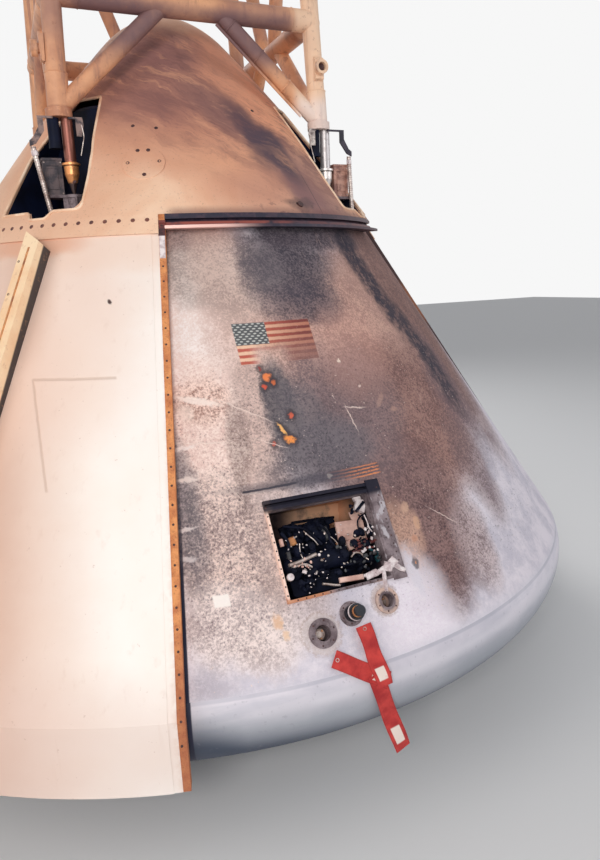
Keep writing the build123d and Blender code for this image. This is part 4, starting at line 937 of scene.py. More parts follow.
def edit_faces(obj, wanted):
    """Edit mode with the faces selected for which wanted(centre, normal) holds."""
    pick(obj)
    bpy.ops.object.mode_set(mode="EDIT")
    bpy.ops.mesh.select_mode(type="FACE")
    bpy.ops.mesh.select_all(action="DESELECT")
    bpy.ops.object.mode_set(mode="OBJECT")
    for face in obj.data.polygons:
        face.select = wanted(face.center, face.normal)
    bpy.ops.object.mode_set(mode="EDIT")


def top_faces(centre, normal):
    return normal.z > 0.9


def end_faces(centre, normal):
    return abs(normal.z) > 0.9


def all_faces(centre, normal):
    return True


def chamfer(offset, segments=1):
    """Chamfer along the edges of the selected faces."""
    bpy.ops.mesh.bevel(offset=offset, segments=segments, affect="EDGES")


def sink(thickness, depth):
    """Inset of the selected faces, moved by a depth."""
    bpy.ops.mesh.inset(thickness=thickness)
    bpy.ops.transform.translate(value=(0, 0, depth))


def done_editing():
    bpy.ops.object.mode_set(mode="OBJECT")
    return bpy.context.object


def rod(radius, length, sides=12):
    """Upright round rod with its middle on the origin."""
    pick()
    bpy.ops.mesh.primitive_cylinder_add(vertices=sides, radius=radius, depth=length)
    return bpy.context.object


def block(wide, tall, thick, edge=0.0):
    """Plate or block that stands on the origin, its upper edges chamfered."""
    pick()
    bpy.ops.mesh.primitive_cube_add(size=1.0, location=(0, 0, thick / 2), scale=(wide, tall, thick))
    bpy.ops.object.transform_apply(location=True, rotation=False, scale=True)
    obj = bpy.context.object
    if edge:
        edit_faces(obj, top_faces)
        chamfer(edge)
        done_editing()
    return obj


def hex_head(radius, height):
    """Bolt head with a chamfered crown."""
    edit_faces(rod(radius, height, 6), top_faces)
    chamfer(height * 0.3)
    return done_editing()


def pan_head(radius, height):
    """Round screw head with a domed crown and a sunk middle."""
    edit_faces(rod(radius, height, 10), top_faces)
    chamfer(height * 0.45)
    edit_faces(done_editing(), top_faces)
    sink(radius * 0.35, -height * 0.35)
    return done_editing()


def ring(radius, thick, sides=28, across=8):
    """Round ring about the origin's Z."""
    pick()
    bpy.ops.mesh.primitive_torus_add(
        major_radius=radius, minor_radius=thick, major_segments=sides, minor_segments=across
    )
    return bpy.context.object


def lump(size, seed, rough=0.35):
    """Crumb of burnt stuff."""
    pick()
    bpy.ops.mesh.primitive_ico_sphere_add(subdivisions=2, radius=size)
    edit_faces(bpy.context.object, all_faces)
    bpy.ops.transform.vertex_random(offset=size * rough, seed=seed)
    return done_editing()


def tubing(points, thick, sides=3):
    """Bent round tube through given points."""
    curve = bpy.data.curves.new("tubing", "CURVE")
    curve.dimensions = "3D"
    curve.bevel_depth = thick / 2
    curve.bevel_resolution = sides
    curve.use_fill_caps = True
    curve.resolution_u = 8
    spline = curve.splines.new("NURBS")
    spline.points.add(len(points) - 1)
    for point, place in zip(spline.points, points):
        point.co = (*place, 1.0)
    spline.order_u = 3
    spline.use_endpoint_u = True
    obj = bpy.data.objects.new("tubing", curve)
    bpy.context.scene.collection.objects.link(obj)
    pick(obj)
    bpy.ops.object.convert(target="MESH")
    return bpy.context.object


def put(obj, place):
    """A piece made at the origin moved to its place, with the place in its mesh."""
    obj.matrix_world = place
    pick(obj)
    bpy.ops.object.transform_apply(location=True, rotation=True, scale=True)
    return obj


def joined(pieces):
    """Several pieces as one mesh."""
    pick(*pieces)
    if len(pieces) > 1:
        bpy.ops.object.join()
    return bpy.context.object


def repeated(pattern, places):
    """The pattern copied to each place, as one mesh."""
    made = []
    for place in places:
        pick(pattern)
        bpy.ops.object.duplicate(linked=False)
        made.append(put(bpy.context.object, place))
    bpy.data.objects.remove(pattern)
    return joined(made)


def finished(obj, name, slot, paint=None, body="capsule", smooth=38):
    """Name, finish and body of a finished piece."""
    pick(obj)
    bpy.ops.object.shade_smooth_by_angle(angle=math.radians(smooth))
    obj.name = name
    obj.data.name = name
    obj.data.materials.clear()
    obj.data.materials.append(PAINTS[paint or slot])
    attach(obj, body)
    return obj


def fixed(pattern, places, name, slot, paint=None, body="capsule"):
    """The pattern at each place, as one finished piece."""
    return finished(repeated(pattern, places), name, slot, paint, body)


# Plain finishes: light and dark tone, scale of the patches, roughness, metallic, soot, shine
PLAIN = {
    # Near-black navy of the charred units: partly their char, partly painted shade of the bay
    "charred_units": ((20, 24, 42), (6, 8, 18), 16, 0.6, 0, 0, 0.10),
    # The wells' near-black navy lining is painted shade of the deep pockets
    "well_lining": ((16, 24, 50), (6, 8, 22), 6, 0.6, 0, 0, 0.15),
    "plug_rubber": ((22, 26, 38), (12, 14, 22), 14, 0.35),
    "box_grey": ((66, 56, 64), (34, 30, 40), 12, 0.5, 0.3, 0.5),
    "pale_metal": ((214, 202, 196), (150, 128, 120), 26, 0.35, 0.6),
    "window_glass": ((60, 62, 60), (30, 30, 32), 12, 0.12),
    "couch_metal": ((96, 88, 80), (40, 36, 34), 7, 0.6, 0.5, 0.8),
    "panel_grey": ((86, 88, 92), (44, 44, 48), 9, 0.55, 0, 0.7),
    "ash_white": ((246, 236, 236), (196, 176, 178), 40, 0.75),
    "scorched_tan": ((224, 156, 100), (150, 92, 62), 26, 0.6),
    "burnt_red": ((128, 62, 58), (60, 34, 38), 30, 0.6),
    "smoked_pink": ((246, 206, 192), (206, 160, 148), 16, 0.6),
    "burnt_teal": ((42, 96, 106), (18, 34, 46), 30, 0.4),
    "dark_screw": ((84, 52, 50), (48, 30, 34), 40, 0.5, 0.3),
    "strap_bolt": ((128, 78, 66), (72, 44, 44), 60, 0.5, 0.2),
    "well_edge": ((255, 226, 198), (232, 186, 152), 12, 0.6),
}
PAINTS = {name: plain_finish(name, *row) for name, row in PLAIN.items()}
PAINTS.update({name: foot_metal(name) for name in FOOT_METALS})
PAINTS.update({
    "aft_ablator": aft_ablator(),
    "shield_paint": shield_paint(),
    # The last tone of each bay metal is its painted pool of light
    "cabin_metal": bay_metal("cabin_metal", (130, 104, 100), (46, 40, 50), (255, 204, 166)),
    "bay_lining": bay_metal("bay_lining", (70, 54, 58), (14, 18, 34), (255, 196, 158)),
    "fitting_metal": port_paint(),
    "nose_paint": nose_paint(),
    "streamer_cloth": streamer_cloth(),
    "sooted_metal": channel_paint(),
    "edge_cork": edge_cork(),
    "cover_paint": cover_paint(),
    "tower_paint": tower_paint(),
    "stud_bronze": stud_bronze(),
    "duct_paint": duct_paint(),
})
NODE_PAINTS = {
    "cover_duct": "duct_paint",
    "leg_brackets": "arm_smoke_and_shade",
    "leg_actuators": "box_smoke_and_shade",
    # The boots take the wells' near-black navy, painted shade
    "leg_boots": "well_lining",
}
for sub in frame["record"]["subparts"]:
    mesh = NODES[sub["node"]].data
    mesh.materials.clear()
    mesh.materials.append(PAINTS[NODE_PAINTS.get(sub["node"], sub["material_slot"])])


def strap_bolts():
    """Bolt heads along the splice strap, at every third degree of the covered side."""
    places = [wall(-20.3 - 3.0 * i, 2.0965, 0.0548) for i in range(89)]
    fixed(pan_head(0.0092, 0.004), places, "strap_bolts", "nose_paint", "strap_bolt")


def strip_screws():
    """Small screws down the cork strip on the left."""
    places = [wall(MISSING_FROM, 1.925 - 0.055 * i, 0.0448) @ shifted(-STRIP_W / 2, 0) for i in range(26)]
    fixed(pan_head(0.0042, 0.0022), places, "strip_screws", "edge_cork", "dark_screw")


def channel_end_bracket():
    """Bent clip and spacer that close the channel's left end over the cork strip."""
    edge, left = wall(MISSING_FROM, 2.060, 0.046), -STRIP_W / 2
    clip = put(block(0.026, 0.062, 0.004, 0.001), edge @ shifted(left, 0.004))
    ear = put(block(0.026, 0.012, 0.010, 0.002), edge @ shifted(-0.010, 0.034))
    finished(joined([clip, ear]), "channel_end_clip", "sooted_metal", "burnt_red")
    spacer = put(block(0.022, 0.100, 0.005, 0.002), wall(MISSING_FROM, 1.996, 0.0446) @ shifted(left, 0))
    finished(spacer, "channel_end_spacer", "edge_cork", "ash_white")
    places = [edge @ shifted(left, y, 0.0038) for y in (0.020, -0.014)]
    fixed(pan_head(0.005, 0.003), places, "channel_end_screws", "edge_cork", "dark_screw")


# Azimuths and heights of the nose plate's screws and of the single plugs
PLATE_SCREWS = ((-23.6, 2.414), (-20.6, 2.414), (-17.5, 2.364), (-21.4, 2.310), (-26.0, 2.361))
NOSE_PLUGS = ((-26.0, 2.528), (-18.4, 2.514), (20.7, 2.623), (16.9, 2.189), (-40.0, 2.30))


def nose_fasteners():
    """Five-bolt cover plate and the single plugs of the nose cap."""
    edit_faces(rod(0.086, 0.0025, 40), top_faces)
    chamfer(0.0012)
    finished(put(done_editing(), nose(-21.7, 2.360)), "nose_plate", "nose_paint")
    screws = [nose(azimuth, z, 0.0024) for azimuth, z in PLATE_SCREWS]
    fixed(pan_head(0.0085, 0.0035), screws, "nose_plate_screws", "nose_paint", "dark_screw")
    plugs = [nose(azimuth, z, -0.0005) for azimuth, z in NOSE_PLUGS]
    fixed(pan_head(0.0085, 0.0035), plugs, "nose_plugs", "nose_paint", "dark_screw")
    stub = put(rod(0.014, 0.016, 14), nose(17.6, 2.186, -0.002))
    finished(stub, "nose_vent_stub", "nose_paint", "dark_screw")


# Outline of a leg's well on the nose: distance from the leg's plane and height, with the notch in its
# lower edge; doubled points round the corners
WELL_OUTLINE = (
    (0.180, 2.330), (0.162, 2.385), (0.150, 2.431), (0.128, 2.480), (0.070, 2.664), (0.062, 2.684), (0.046, 2.684),
    (-0.050, 2.684), (-0.066, 2.684), (-0.076, 2.666), (-0.186, 2.470), (-0.204, 2.440), (-0.205, 2.400),
    (-0.206, 2.200), (-0.206, 2.184), (-0.192, 2.184), (-0.060, 2.184), (-0.044, 2.184), (-0.030, 2.166),
    (-0.021, 2.155), (-0.006, 2.155), (0.044, 2.155), (0.056, 2.155), (0.066, 2.164), (0.084, 2.184),
    (0.100, 2.184), (0.160, 2.184), (0.208, 2.186), (0.203, 2.228), (0.180, 2.330),
)


def well_rims():
    """Rolled cream edge round each of the nose cap's four wells."""
    corner = math.degrees(math.atan2(FOOT[0], FOOT[1]))
    rims = []
    for azimuth, sign in ((-corner, 1), (corner, -1), (180 - corner, 1), (180 + corner, -1)):
        a = math.radians(azimuth)
        across = Vector((math.cos(a), math.sin(a), 0.0))
        ahead = Vector((math.sin(a), -math.cos(a), 0.0))
        points = []
        for u, z in WELL_OUTLINE:
            level = math.hypot(*nose(0.0, z).translation[:2])
            points.append(across * (sign * u) + ahead * math.sqrt(level * level - u * u) + Vector((0, 0, z)))
        rims.append(tubing(points, 0.012, 2))
    finished(joined(rims), "well_rims", "nose_paint", "well_edge")


# Height of the weld that ends the sleeve round each leg's foot
SLEEVE_Z = 2.7405


def weld_rings():
    """Weld beads round the rails beside each leg and round each leg where the sleeve at its foot ends."""
    beads = []
    for z in RAIL_LEVELS:
        for corner in range(4):
            a, b = leg(corner, z), leg(corner + 1, z)
            along = (b - a).normalized()
            for point in (a + along * 0.102, b - along * 0.102):
                beads.append(facing(point, along))
    fixed(ring(RAIL_R + 0.0005, 0.0022), beads, "rail_welds", "tower_paint")
    seams = [facing(leg(corner, SLEEVE_Z), leg(corner, TOP[2]) - leg(corner, FOOT[2])) for corner in range(4)]
    fixed(ring(0.0445, 0.0028), seams, "sleeve_welds", "tower_paint")


def brace_conduit():
    """Thin conduit along the front brace on the right, with its clips."""
    foot, left, right = leg(1, BRACE_FOOT_Z), leg(0, RAIL_LEVELS[0]), leg(1, RAIL_LEVELS[0])
    head = (left + right) / 2 - (left - right).normalized() * 0.120
    along = (foot - head).normalized()
    outward = Vector((0.0, -1.0, 0.0))
    side = along.cross(outward).normalized()
    if side.z > 0:
        side = -side
    off = side * (BRACE_R + 0.012) + outward * 0.010
    points = [head + along * s + off for s in (0.03, 0.10, 0.22, 0.34, 0.46, 0.56)]
    finished(tubing(points, 0.013), "brace_conduit", "tower_paint")
    clips = [facing(head + along * s, along) for s in (0.08, 0.25, 0.42)]
    fixed(ring(BRACE_R + 0.002, 0.003), clips, "brace_clips", "tower_paint")


LUG_Z = 2.830


def lug_pins():
    """Bushes in the hoisting lugs, their outer ends sunk."""
    places = []
    for corner in range(4):
        lug = Matrix.Translation(leg(corner, LUG_Z)) @ turned(180 + 90 * corner)
        places.append(lug @ shifted(0.0715, 0) @ turned(90, "Y"))
    edit_faces(rod(0.0165, 0.009, 20), top_faces)
    sink(0.006, -0.004)
    fixed(done_editing(), places, "lug_bushes", "tower_paint", "dark_screw")


# Under a left and a right leg: x of the stud, x and y of the box, x of the hook and of the conduit's upper
# and lower end, from the leg's axis
FEET = (
    (0.026, -0.048, 0.048, 0.074, -0.118, -0.076),
    (0.030, 0.110, 0.020, -0.052, 0.146, 0.158),
) * 2
# Heights of the conduits' lower ends and of the boxes' middles
CONDUIT_FOOT_Z, BOX_Z = 2.187, 2.268 + 0.075
CONDUIT_RINGS = 26
# Bends of the release rod that hangs from the hook
ROD_BENDS = ((0.006, -0.036, -0.030), (0.014, -0.040, -0.070), (0.004, -0.041, -0.105), (-0.008, -0.038, -0.150))


def foot_details():
    """Conduit rings and end plugs, box screws and plates, and the release rods."""
    rings, caps, screws, lids, bends = [], [], [], [], []
    for corner, (stud, box_x, box_y, hook, high_x, low_x) in enumerate(FEET):
        # The back ones are turned half round
        place = Matrix.Translation(leg(corner, FOOT[2])) @ turned(180 if corner > 1 else 0)
        low, high = Vector((low_x, -0.025, CONDUIT_FOOT_Z - FOOT[2])), Vector((high_x, -0.025, -0.118))
        along = (high - low).normalized()
        for i in range(CONDUIT_RINGS):
            point = low + (high - low) * ((i + 0.5) / CONDUIT_RINGS)
            rings.append(place @ facing(point, along))
        caps.append(place @ facing(high - along * 0.022, along))
        face = place @ shifted(box_x, box_y - 0.027, BOX_Z - FOOT[2]) @ turned(90, "X")
        lids.append(face @ shifted(0, -0.008, -0.004))
        screws += [face @ shifted(x, y - 0.008 + 0.004) for x in (-0.0325, 0.0325) for y in (-0.062, 0.062)]
        side = 1 if hook > stud else -1
        bends.append((place, [(hook + side * x, y, z) for x, y, z in ROD_BENDS]))
    fixed(ring(0.0100, 0.0016, 16, 6), rings, "conduit_rings", "pale_metal")
    fixed(hex_head(0.0135, 0.026), caps, "conduit_ends", "pale_metal", "ash_white")
    fixed(pan_head(0.0036, 0.002), screws, "box_screws", "box_grey", "pale_metal")
    fixed(block(0.040, 0.084, 0.003, 0.001), lids, "box_plates", "box_grey", "box_smoke_and_shade")
    rods = [put(tubing(points, 0.0045, 2), place) for place, points in bends]
    finished(joined(rods), "release_rods", "pale_metal")


def duct_details():
    """Scorched edge strip along the duct's ridge and its cover screws."""
    middle, length = (DUCT_TOP + DUCT_FOOT) / 2, (DUCT_TOP - DUCT_FOOT) / COS
    place = wall(DUCT_AZIMUTH, middle)
    strip = put(block(0.007, length - 0.10, 0.003), place @ shifted(0.012, -0.04, 0.1195))
    finished(strip, "duct_ridge", "cover_paint", "scorched_tan")
    screws = [place @ shifted(-0.016, -length / 2 + 0.06 + 0.14 * i, 0.1195) for i in range(11)]
    fixed(pan_head(0.0055, 0.003), screws, "duct_screws", "cover_paint", "dark_screw")


def port_details():
    """Flange screws of the ports, couplings and pins in the open ones, and the plug's collar and sleeve."""
    screws, cores, pins = [], [], []
    for port in PORTS:
        azimuth, z, size = port
        place = wall(azimuth, z)
        screws += circle(place, 6, 0.038 * size + 0.002, 15, 0.0088)
        if port is not PLUGGED:
            cores.append(place @ shifted(0, 0, -0.052) @ Matrix.Diagonal((size, size, 1.0, 1.0)))
            pins += circle(wall(azimuth, z, -0.046), 3, 0.0155 * size, 40)
    fixed(pan_head(0.0034, 0.0022), screws, "port_screws", "fitting_metal", "dark_screw")
    edit_faces(rod(0.0262, 0.016, 24), top_faces)
    sink(0.009, 0.016)
    sink(0.006, -0.012)
    fixed(done_editing(), cores, "port_couplings", "fitting_metal", "pale_metal")
    fixed(rod(0.0035, 0.030, 8), pins, "port_pins", "fitting_metal", "scorched_tan")
    azimuth, z, _ = PLUGGED
    edit_faces(rod(0.0278, 0.011, 28), end_faces)
    chamfer(0.002, 2)
    finished(put(done_editing(), wall(azimuth, z, 0.0445)), "plug_collar", "plug_rubber", "ash_white")
    finished(put(rod(0.0188, 0.020, 24), wall(azimuth, z, 0.058)), "plug_sleeve", "plug_rubber", "scorched_tan")


# Pieces in the access bay, by their place on the opening's plane and their depth.
# Tubes: finish, thickness, depth, points
BAY_TUBES = (
    ("charred_units", 0.011, 0.150, ((-0.125, 0.089), (-0.06, 0.087), (0.0, 0.083), (0.044, 0.079))),
    ("pale_metal", 0.013, 0.030, ((-0.167, -0.055), (-0.130, -0.052), (-0.095, -0.045), (-0.062, -0.038))),
    ("pale_metal", 0.007, 0.034, ((-0.160, -0.066), (-0.125, -0.060), (-0.100, -0.064), (-0.088, -0.078))),
    ("charred_units", 0.006, 0.050, ((0.126, 0.000), (0.122, 0.034), (0.140, 0.060), (0.168, 0.066), (0.182, 0.050))),
    ("burnt_red", 0.012, 0.040, ((0.091, -0.043), (0.118, -0.046), (0.150, -0.038), (0.180, -0.036))),
    ("burnt_red", 0.008, 0.036, ((0.076, -0.058), (0.108, -0.062), (0.132, -0.052), (0.160, -0.058))),
    ("pale_metal", 0.006, 0.030,
     ((0.065, -0.074), (0.080, -0.060), (0.104, -0.066), (0.113, -0.084), (0.127, -0.096))),
    ("ash_white", 0.005, 0.026, ((0.160, 0.062), (0.166, 0.036), (0.163, 0.012), (0.172, -0.002))),
    ("charred_units", 0.014, 0.060, ((-0.170, 0.060), (-0.150, 0.030), (-0.158, -0.010), (-0.172, -0.030))),
    ("charred_units", 0.008, 0.060,
     ((-0.155, 0.080), (-0.120, 0.070), (-0.080, 0.060), (-0.050, 0.020), (-0.030, -0.010))),
    ("charred_units", 0.009, 0.050, ((-0.020, 0.060), (0.010, 0.030), (0.000, -0.010), (0.030, -0.040))),
    ("pale_metal", 0.004, 0.055, ((-0.085, 0.050), (-0.070, 0.028), (-0.052, 0.010), (-0.046, -0.008))),
    ("burnt_teal", 0.009, 0.040, ((0.140, -0.060), (0.165, -0.075), (0.184, -0.089), (0.180, -0.110))),
    ("charred_units", 0.010, 0.036, ((0.020, -0.090), (0.055, -0.100), (0.090, -0.094), (0.130, -0.104))),
    ("pale_metal", 0.009, 0.030, ((-0.066, -0.140), (-0.045, -0.146), (-0.025, -0.154), (-0.006, -0.158))),
    ("charred_units", 0.007, 0.034, ((-0.150, -0.120), (-0.110, -0.128), (-0.070, -0.118), (-0.030, -0.126))),
    ("pale_metal", 0.004, 0.040, ((-0.110, 0.010), (-0.120, -0.020), (-0.108, -0.050), (-0.120, -0.080))),
    ("pale_metal", 0.003, 0.045, ((0.010, 0.010), (0.030, -0.012), (0.026, -0.034), (0.048, -0.050))),
    ("scorched_tan", 0.005, 0.040, ((-0.040, -0.060), (-0.010, -0.052), (0.020, -0.062), (0.046, -0.056))),
)
# Blocks: finish, place and depth, width, height, thickness, turn
BAY_BLOCKS = (
    ("smoked_pink", 0.092, 0.018, 0.088, 0.112, 0.072, 0.010, -4),
    ("smoked_pink", 0.132, 0.066, 0.100, 0.050, 0.040, 0.008, 6),
    ("scorched_tan", -0.148, 0.020, 0.075, 0.034, 0.030, 0.022, 8),
    ("panel_grey", -0.166, -0.034, 0.050, 0.014, 0.044, 0.020, 0),
    ("smoked_pink", -0.176, 0.024, 0.030, 0.012, 0.026, 0.012, 0),
    ("ash_white", 0.153, 0.098, 0.034, 0.040, 0.046, 0.018, -30),
    ("ash_white", 0.148, 0.130, 0.040, 0.028, 0.022, 0.016, 12),
    ("charred_units", 0.152, 0.094, 0.020, 0.052, 0.010, 0.006, 36),
    ("charred_units", 0.020, 0.067, 0.135, 0.034, 0.020, 0.014, 10),
    ("burnt_teal", 0.168, -0.098, 0.050, 0.030, 0.024, 0.020, 24),
    ("smoked_pink", 0.040, -0.146, 0.020, 0.090, 0.018, 0.012, -4),
    ("panel_grey", -0.030, 0.020, 0.110, 0.060, 0.050, 0.030, 12),
    ("scorched_tan", 0.030, -0.020, 0.070, 0.016, 0.010, 0.008, 0),
    ("charred_units", -0.090, -0.095, 0.055, 0.070, 0.040, 0.030, -6),
    ("charred_units", -0.085, 0.030, 0.150, 0.170, 0.090, 0.030, 8),
    ("charred_units", -0.020, 0.000, 0.140, 0.160, 0.070, 0.030, 4),
    ("charred_units", -0.150, 0.062, 0.120, 0.060, 0.040, 0.020, 10),
    ("smoked_pink", 0.094, -0.030, 0.090, 0.070, 0.036, 0.012, 12),
    ("ash_white", 0.118, -0.062, 0.030, 0.020, 0.012, 0.008, 24),
    ("ash_white", -0.120, -0.088, 0.030, 0.016, 0.010, 0.006, -30),
)
# Crumbs: finish, how many, middle of their heap, its half width and height, depths, sizes
BAY_CRUMBS = (
    ("charred_units", 60, 0.020, -0.060, 0.150, 0.070, (0.030, 0.080), (0.006, 0.020)),
    ("charred_units", 26, 0.150, 0.030, 0.035, 0.080, (0.030, 0.070), (0.004, 0.012)),
    ("charred_units", 22, -0.140, -0.110, 0.045, 0.040, (0.030, 0.070), (0.005, 0.016)),
    ("panel_grey", 20, 0.100, -0.070, 0.080, 0.050, (0.020, 0.040), (0.004, 0.010)),
    ("burnt_red", 12, 0.130, -0.040, 0.050, 0.020, (0.020, 0.036), (0.003, 0.007)),
    ("ash_white", 14, 0.165, -0.030, 0.022, 0.060, (0.012, 0.030), (0.003, 0.007)),
    ("ash_white", 12, -0.080, -0.130, 0.060, 0.030, (0.020, 0.034), (0.002, 0.005)),
    ("charred_units", 40, -0.080, 0.045, 0.080, 0.030, (0.090, 0.130), (0.008, 0.024)),
    ("ash_white", 22, -0.040, 0.000, 0.120, 0.070, (0.028, 0.060), (0.0015, 0.004)),
    ("pale_metal", 24, 0.020, -0.040, 0.150, 0.080, (0.026, 0.050), (0.002, 0.006)),
    ("ash_white", 10, 0.120, -0.148, 0.060, 0.010, (0.002, 0.016), (0.003, 0.007)),
    ("smoked_pink", 10, -0.120, -0.060, 0.040, 0.020, (0.018, 0.030), (0.003, 0.006)),
)
CRUMB_SEED = 17
# Ash flakes that stick out over the sill: place, out, width, height, turn
FLAKES = (
    (0.117, -0.146, 0.004, 0.046, 0.022, 8),
    (0.158, -0.140, 0.008, 0.052, 0.016, 20),
    (0.182, -0.134, 0.012, 0.030, 0.030, -20),
    (0.206, -0.124, 0.010, 0.032, 0.028, 30),
    (0.158, -0.178, 0.006, 0.012, 0.070, -6),
    (0.226, -0.146, 0.010, 0.046, 0.014, -38),
)


def bay_tubes():
    """Pipes and stiff lines in the bay, one mesh for each finish."""
    for paint in sorted({row[0] for row in BAY_TUBES}):
        made = []
        for row_paint, thick, depth, points in BAY_TUBES:
            if row_paint != paint:
                continue
            line = [seen(x, y, depth + 0.006 * (i % 2)) for i, (x, y) in enumerate(points)]
            made.append(put(tubing(line, thick), ACCESS))
        slot = paint if paint in ("charred_units", "pale_metal") else "charred_units"
        finished(joined(made), f"bay_lines_{paint}", slot, paint)


def bay_blocks():
    """Brackets, covers and blank boxes in the bay."""
    for paint in sorted({row[0] for row in BAY_BLOCKS}):
        made = []
        for row_paint, x, y, depth, wide, tall, thick, turn in BAY_BLOCKS:
            if row_paint != paint:
                continue
            place = ACCESS @ Matrix.Translation(seen(x, y, depth + thick)) @ turned(turn)
            made.append(put(block(wide, tall, thick, thick * 0.2), place))
        slot = paint if paint in ("charred_units", "panel_grey") else "charred_units"
        finished(joined(made), f"bay_boxes_{paint}", slot, paint)
    edit_faces(rod(0.013, 0.012, 20), top_faces)
    chamfer(0.004, 2)
    caps = [ACCESS @ Matrix.Translation(seen(x, y, 0.030)) @ Matrix.Scale(size, 4)
            for x, y, size in ((-0.172, -0.094, 1.0), (-0.050, -0.042, 0.4))]
    fixed(done_editing(), caps, "bay_caps", "pale_metal", "ash_white")


def bay_crumbs():
    """Burnt crumbs and ash over the units in the bay; the tiny pale ones also stand as painted glints on the units.
    """
    draw = random.Random(CRUMB_SEED)
    for number, (paint, count, x, y, wide, tall, depths, sizes) in enumerate(BAY_CRUMBS, 1):
        made = []
        for _ in range(count):
            size = draw.uniform(*sizes)
            at = seen(x + draw.uniform(-wide, wide), y + draw.uniform(-tall, tall), draw.uniform(*depths))
            at.x = min(max(at.x, -0.186), 0.186)
            at.y = min(max(at.y, -0.158), 0.132)
            turn = Matrix.Rotation(draw.uniform(0, 3), 4, "Z")
            flat = Matrix.Diagonal((1.0, draw.uniform(0.4, 0.9), 0.7, 1.0))
            made.append(put(lump(size, draw.randrange(1000)), ACCESS @ Matrix.Translation(at) @ (turn @ flat)))
        finished(joined(made), f"bay_crumbs_{number}", "charred_units", paint, smooth=20)


def bay_flakes():
    """Pale flakes of burnt insulation on the sill of the opening."""
    made = []
    for i, (x, y, out, wide, tall, turn) in enumerate(FLAKES):
        flake = block(wide, tall, 0.006, 0.0015)
        edit_faces(flake, all_faces)
        bpy.ops.mesh.subdivide(number_cuts=2)
        bpy.ops.transform.vertex_random(offset=0.003, seed=i)
        done_editing()
        tilt = turned(turn) @ turned(12 * (-1) ** i, "X")
        made.append(put(flake, ACCESS @ shifted(x, y, out) @ tilt))
    finished(joined(made), "bay_flakes", "pale_metal", "ash_white", smooth=20)


def frame_rivets():
    """Rivets down the sides of the access frame and along its sill."""
    sides = ((-0.1955, 0.003), (0.236, 0.006))
    places = [ACCESS @ shifted(x, -0.150 + 0.030 * i, out) for i in range(11) for x, out in sides]
    places += [ACCESS @ shifted(-0.165 + 0.030 * i, -0.170, 0.003) for i in range(12)]
    fixed(pan_head(0.0030, 0.0018), places, "frame_rivets", "fitting_metal", "dark_screw")


# The hatch behind: azimuth and height of its middle, and where its edge screws run
HATCH = (180.0, 1.640)
HATCH_EDGE_X, HATCH_EDGE_Y = 0.380, 0.440


def hatch_details():
    """Screws of the window ring, the cover hatch's edge and the hinges."""
    door = wall(*HATCH)
    window = circle(door, 16, 0.138, 0.0, 0.0588)
    fixed(pan_head(0.0050, 0.003), window, "window_screws", "fitting_metal", "dark_screw", "hatch")
    edge = [wall_on(door, x, -0.40 + 0.10 * i) for i in range(9) for x in (-HATCH_EDGE_X, HATCH_EDGE_X)]
    edge += [wall_on(door, -0.30 + 0.10 * i, y) for i in range(7) for y in (-HATCH_EDGE_Y, HATCH_EDGE_Y)]
    fixed(pan_head(0.0055, 0.003), edge, "cover_hatch_screws", "cover_paint", "dark_screw", "hatch")
    bolts = [door @ shifted(x, station + side, 0.025)
             for station in (-0.25, 0.25) for x in (0.500, 0.522) for side in (-0.046, 0.046)]
    fixed(hex_head(0.0065, 0.005), bolts, "hinge_bolts", "fitting_metal", "dark_screw")


def wall_on(place, x, y):
    """Place on the cover's skin beside a place on the wall."""
    point = place @ Vector((x, y, 0.0))
    azimuth = math.degrees(math.atan2(point.x, -point.y))
    return wall(azimuth, point.z, COVER_OUT - 0.0005)


# Heights between which the butt straps run
BAND_FOOT, BAND_TOP = 0.470, 2.060


def seam_bands():
    """Butt straps over the two seams of the cover behind, with their screws."""
    middle, length = (BAND_TOP + BAND_FOOT) / 2, (BAND_TOP - BAND_FOOT) / COS
    for number, azimuth in enumerate(SEAMS, 1):
        band = put(block(0.050, length, 0.003, 0.001), wall(azimuth, middle, COVER_OUT - 0.0012))
        finished(band, f"cover_seam_band_{number}", "cover_paint")
    screws = [wall(azimuth, 0.52 + 0.088 * i, COVER_OUT + 0.0013) @ shifted(side, 0)
              for azimuth in SEAMS for i in range(18) for side in (-0.017, 0.017)]
    fixed(pan_head(0.0048, 0.0025), screws, "seam_band_screws", "cover_paint", "dark_screw")


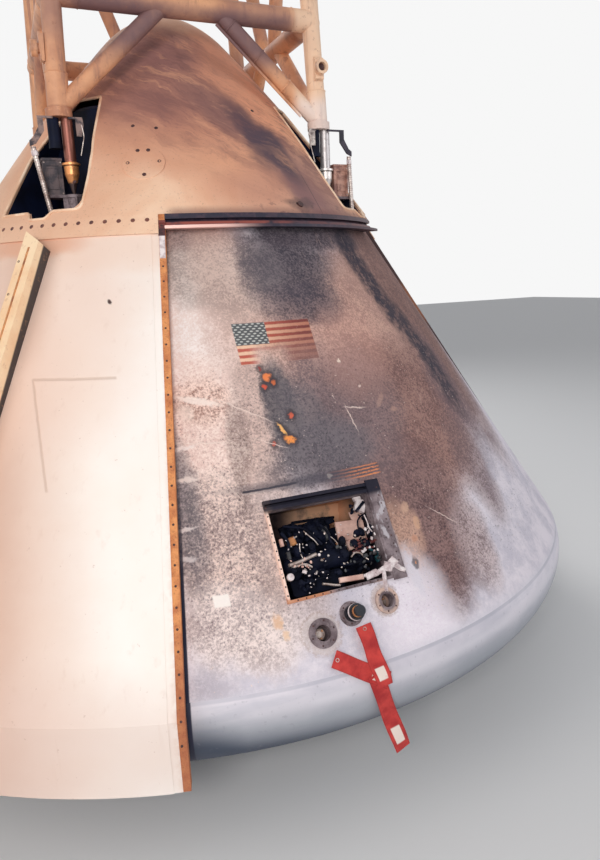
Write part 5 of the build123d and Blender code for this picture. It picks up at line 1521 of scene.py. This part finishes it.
def top_pad_nuts():
    """Nuts under the tower's top pads."""
    places = [Matrix.Translation(leg(corner, TOP[2]) + Vector((dx * 0.052, dy * 0.052, 0))) @ turned(180, "X")
              for corner in range(4) for dx, dy in ((-1, -1), (1, -1), (1, 1), (-1, 1))]
    fixed(hex_head(0.009, 0.007), places, "top_pad_bolts", "tower_paint", "dark_screw")


# Streamers: name, place of the middle, turn, length, height of the waves, sideways curl. The long one hangs
# upright below the round corner.
STREAMER_W = 0.058
STREAMERS = (
    ("streamer_left", wall(0.0, 0.640, 0.007), 55.0, 0.200, 0.006, 0.10),
    ("streamer_middle", wall(1.7, 0.668, 0.015), 6.0, 0.200, 0.008, -0.12),
    ("streamer_long", on_skin(2.6, 1.962, 0.470, 1.0, 0.0), 17.0, 0.330, 0.007, 0.15),
)


def streamer(name, place, turn, length, wave, curl):
    """Strip of cloth with soft waves, a bent corner and a grommet."""
    pick()
    bpy.ops.mesh.primitive_grid_add(x_subdivisions=8, y_subdivisions=32, size=1.0)
    cloth = bpy.context.object
    for vertex in cloth.data.vertices:
        across, up, _ = vertex.co
        along = 0.5 - up
        x = across * STREAMER_W + curl * 0.05 * along * along
        z = wave * math.sin(along * 9.0 + across * 1.2) * (0.3 + 0.7 * along) + 0.004 * across * along
        vertex.co = (x, up * length, z)
    hung = place @ turned(turn)
    put(cloth, hung)
    finished(cloth, name, "streamer_cloth", smooth=80)
    tie = shifted(0, length / 2 - 0.012, wave * math.sin(0.4) * 0.3 + 0.0008)
    eyelet = put(ring(0.0055, 0.0013, 18, 6), hung @ tie)
    finished(eyelet, name + "_eyelet", "pale_metal")
    return cloth


def streamers():
    """The three red streamers below the ports."""
    first, *_ = [streamer(*row) for row in STREAMERS]
    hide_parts("port_streamers")


camera()
lamps()
world()
floor()
bpy.context.scene.view_settings.view_transform = "Standard"

for make in (
    strap_bolts, strip_screws, channel_end_bracket, nose_fasteners, well_rims, weld_rings, brace_conduit,
    lug_pins, foot_details, duct_details, port_details, bay_tubes, bay_blocks, bay_crumbs, bay_flakes,
    frame_rivets, hatch_details, seam_bands, top_pad_nuts, streamers,
):
    make()
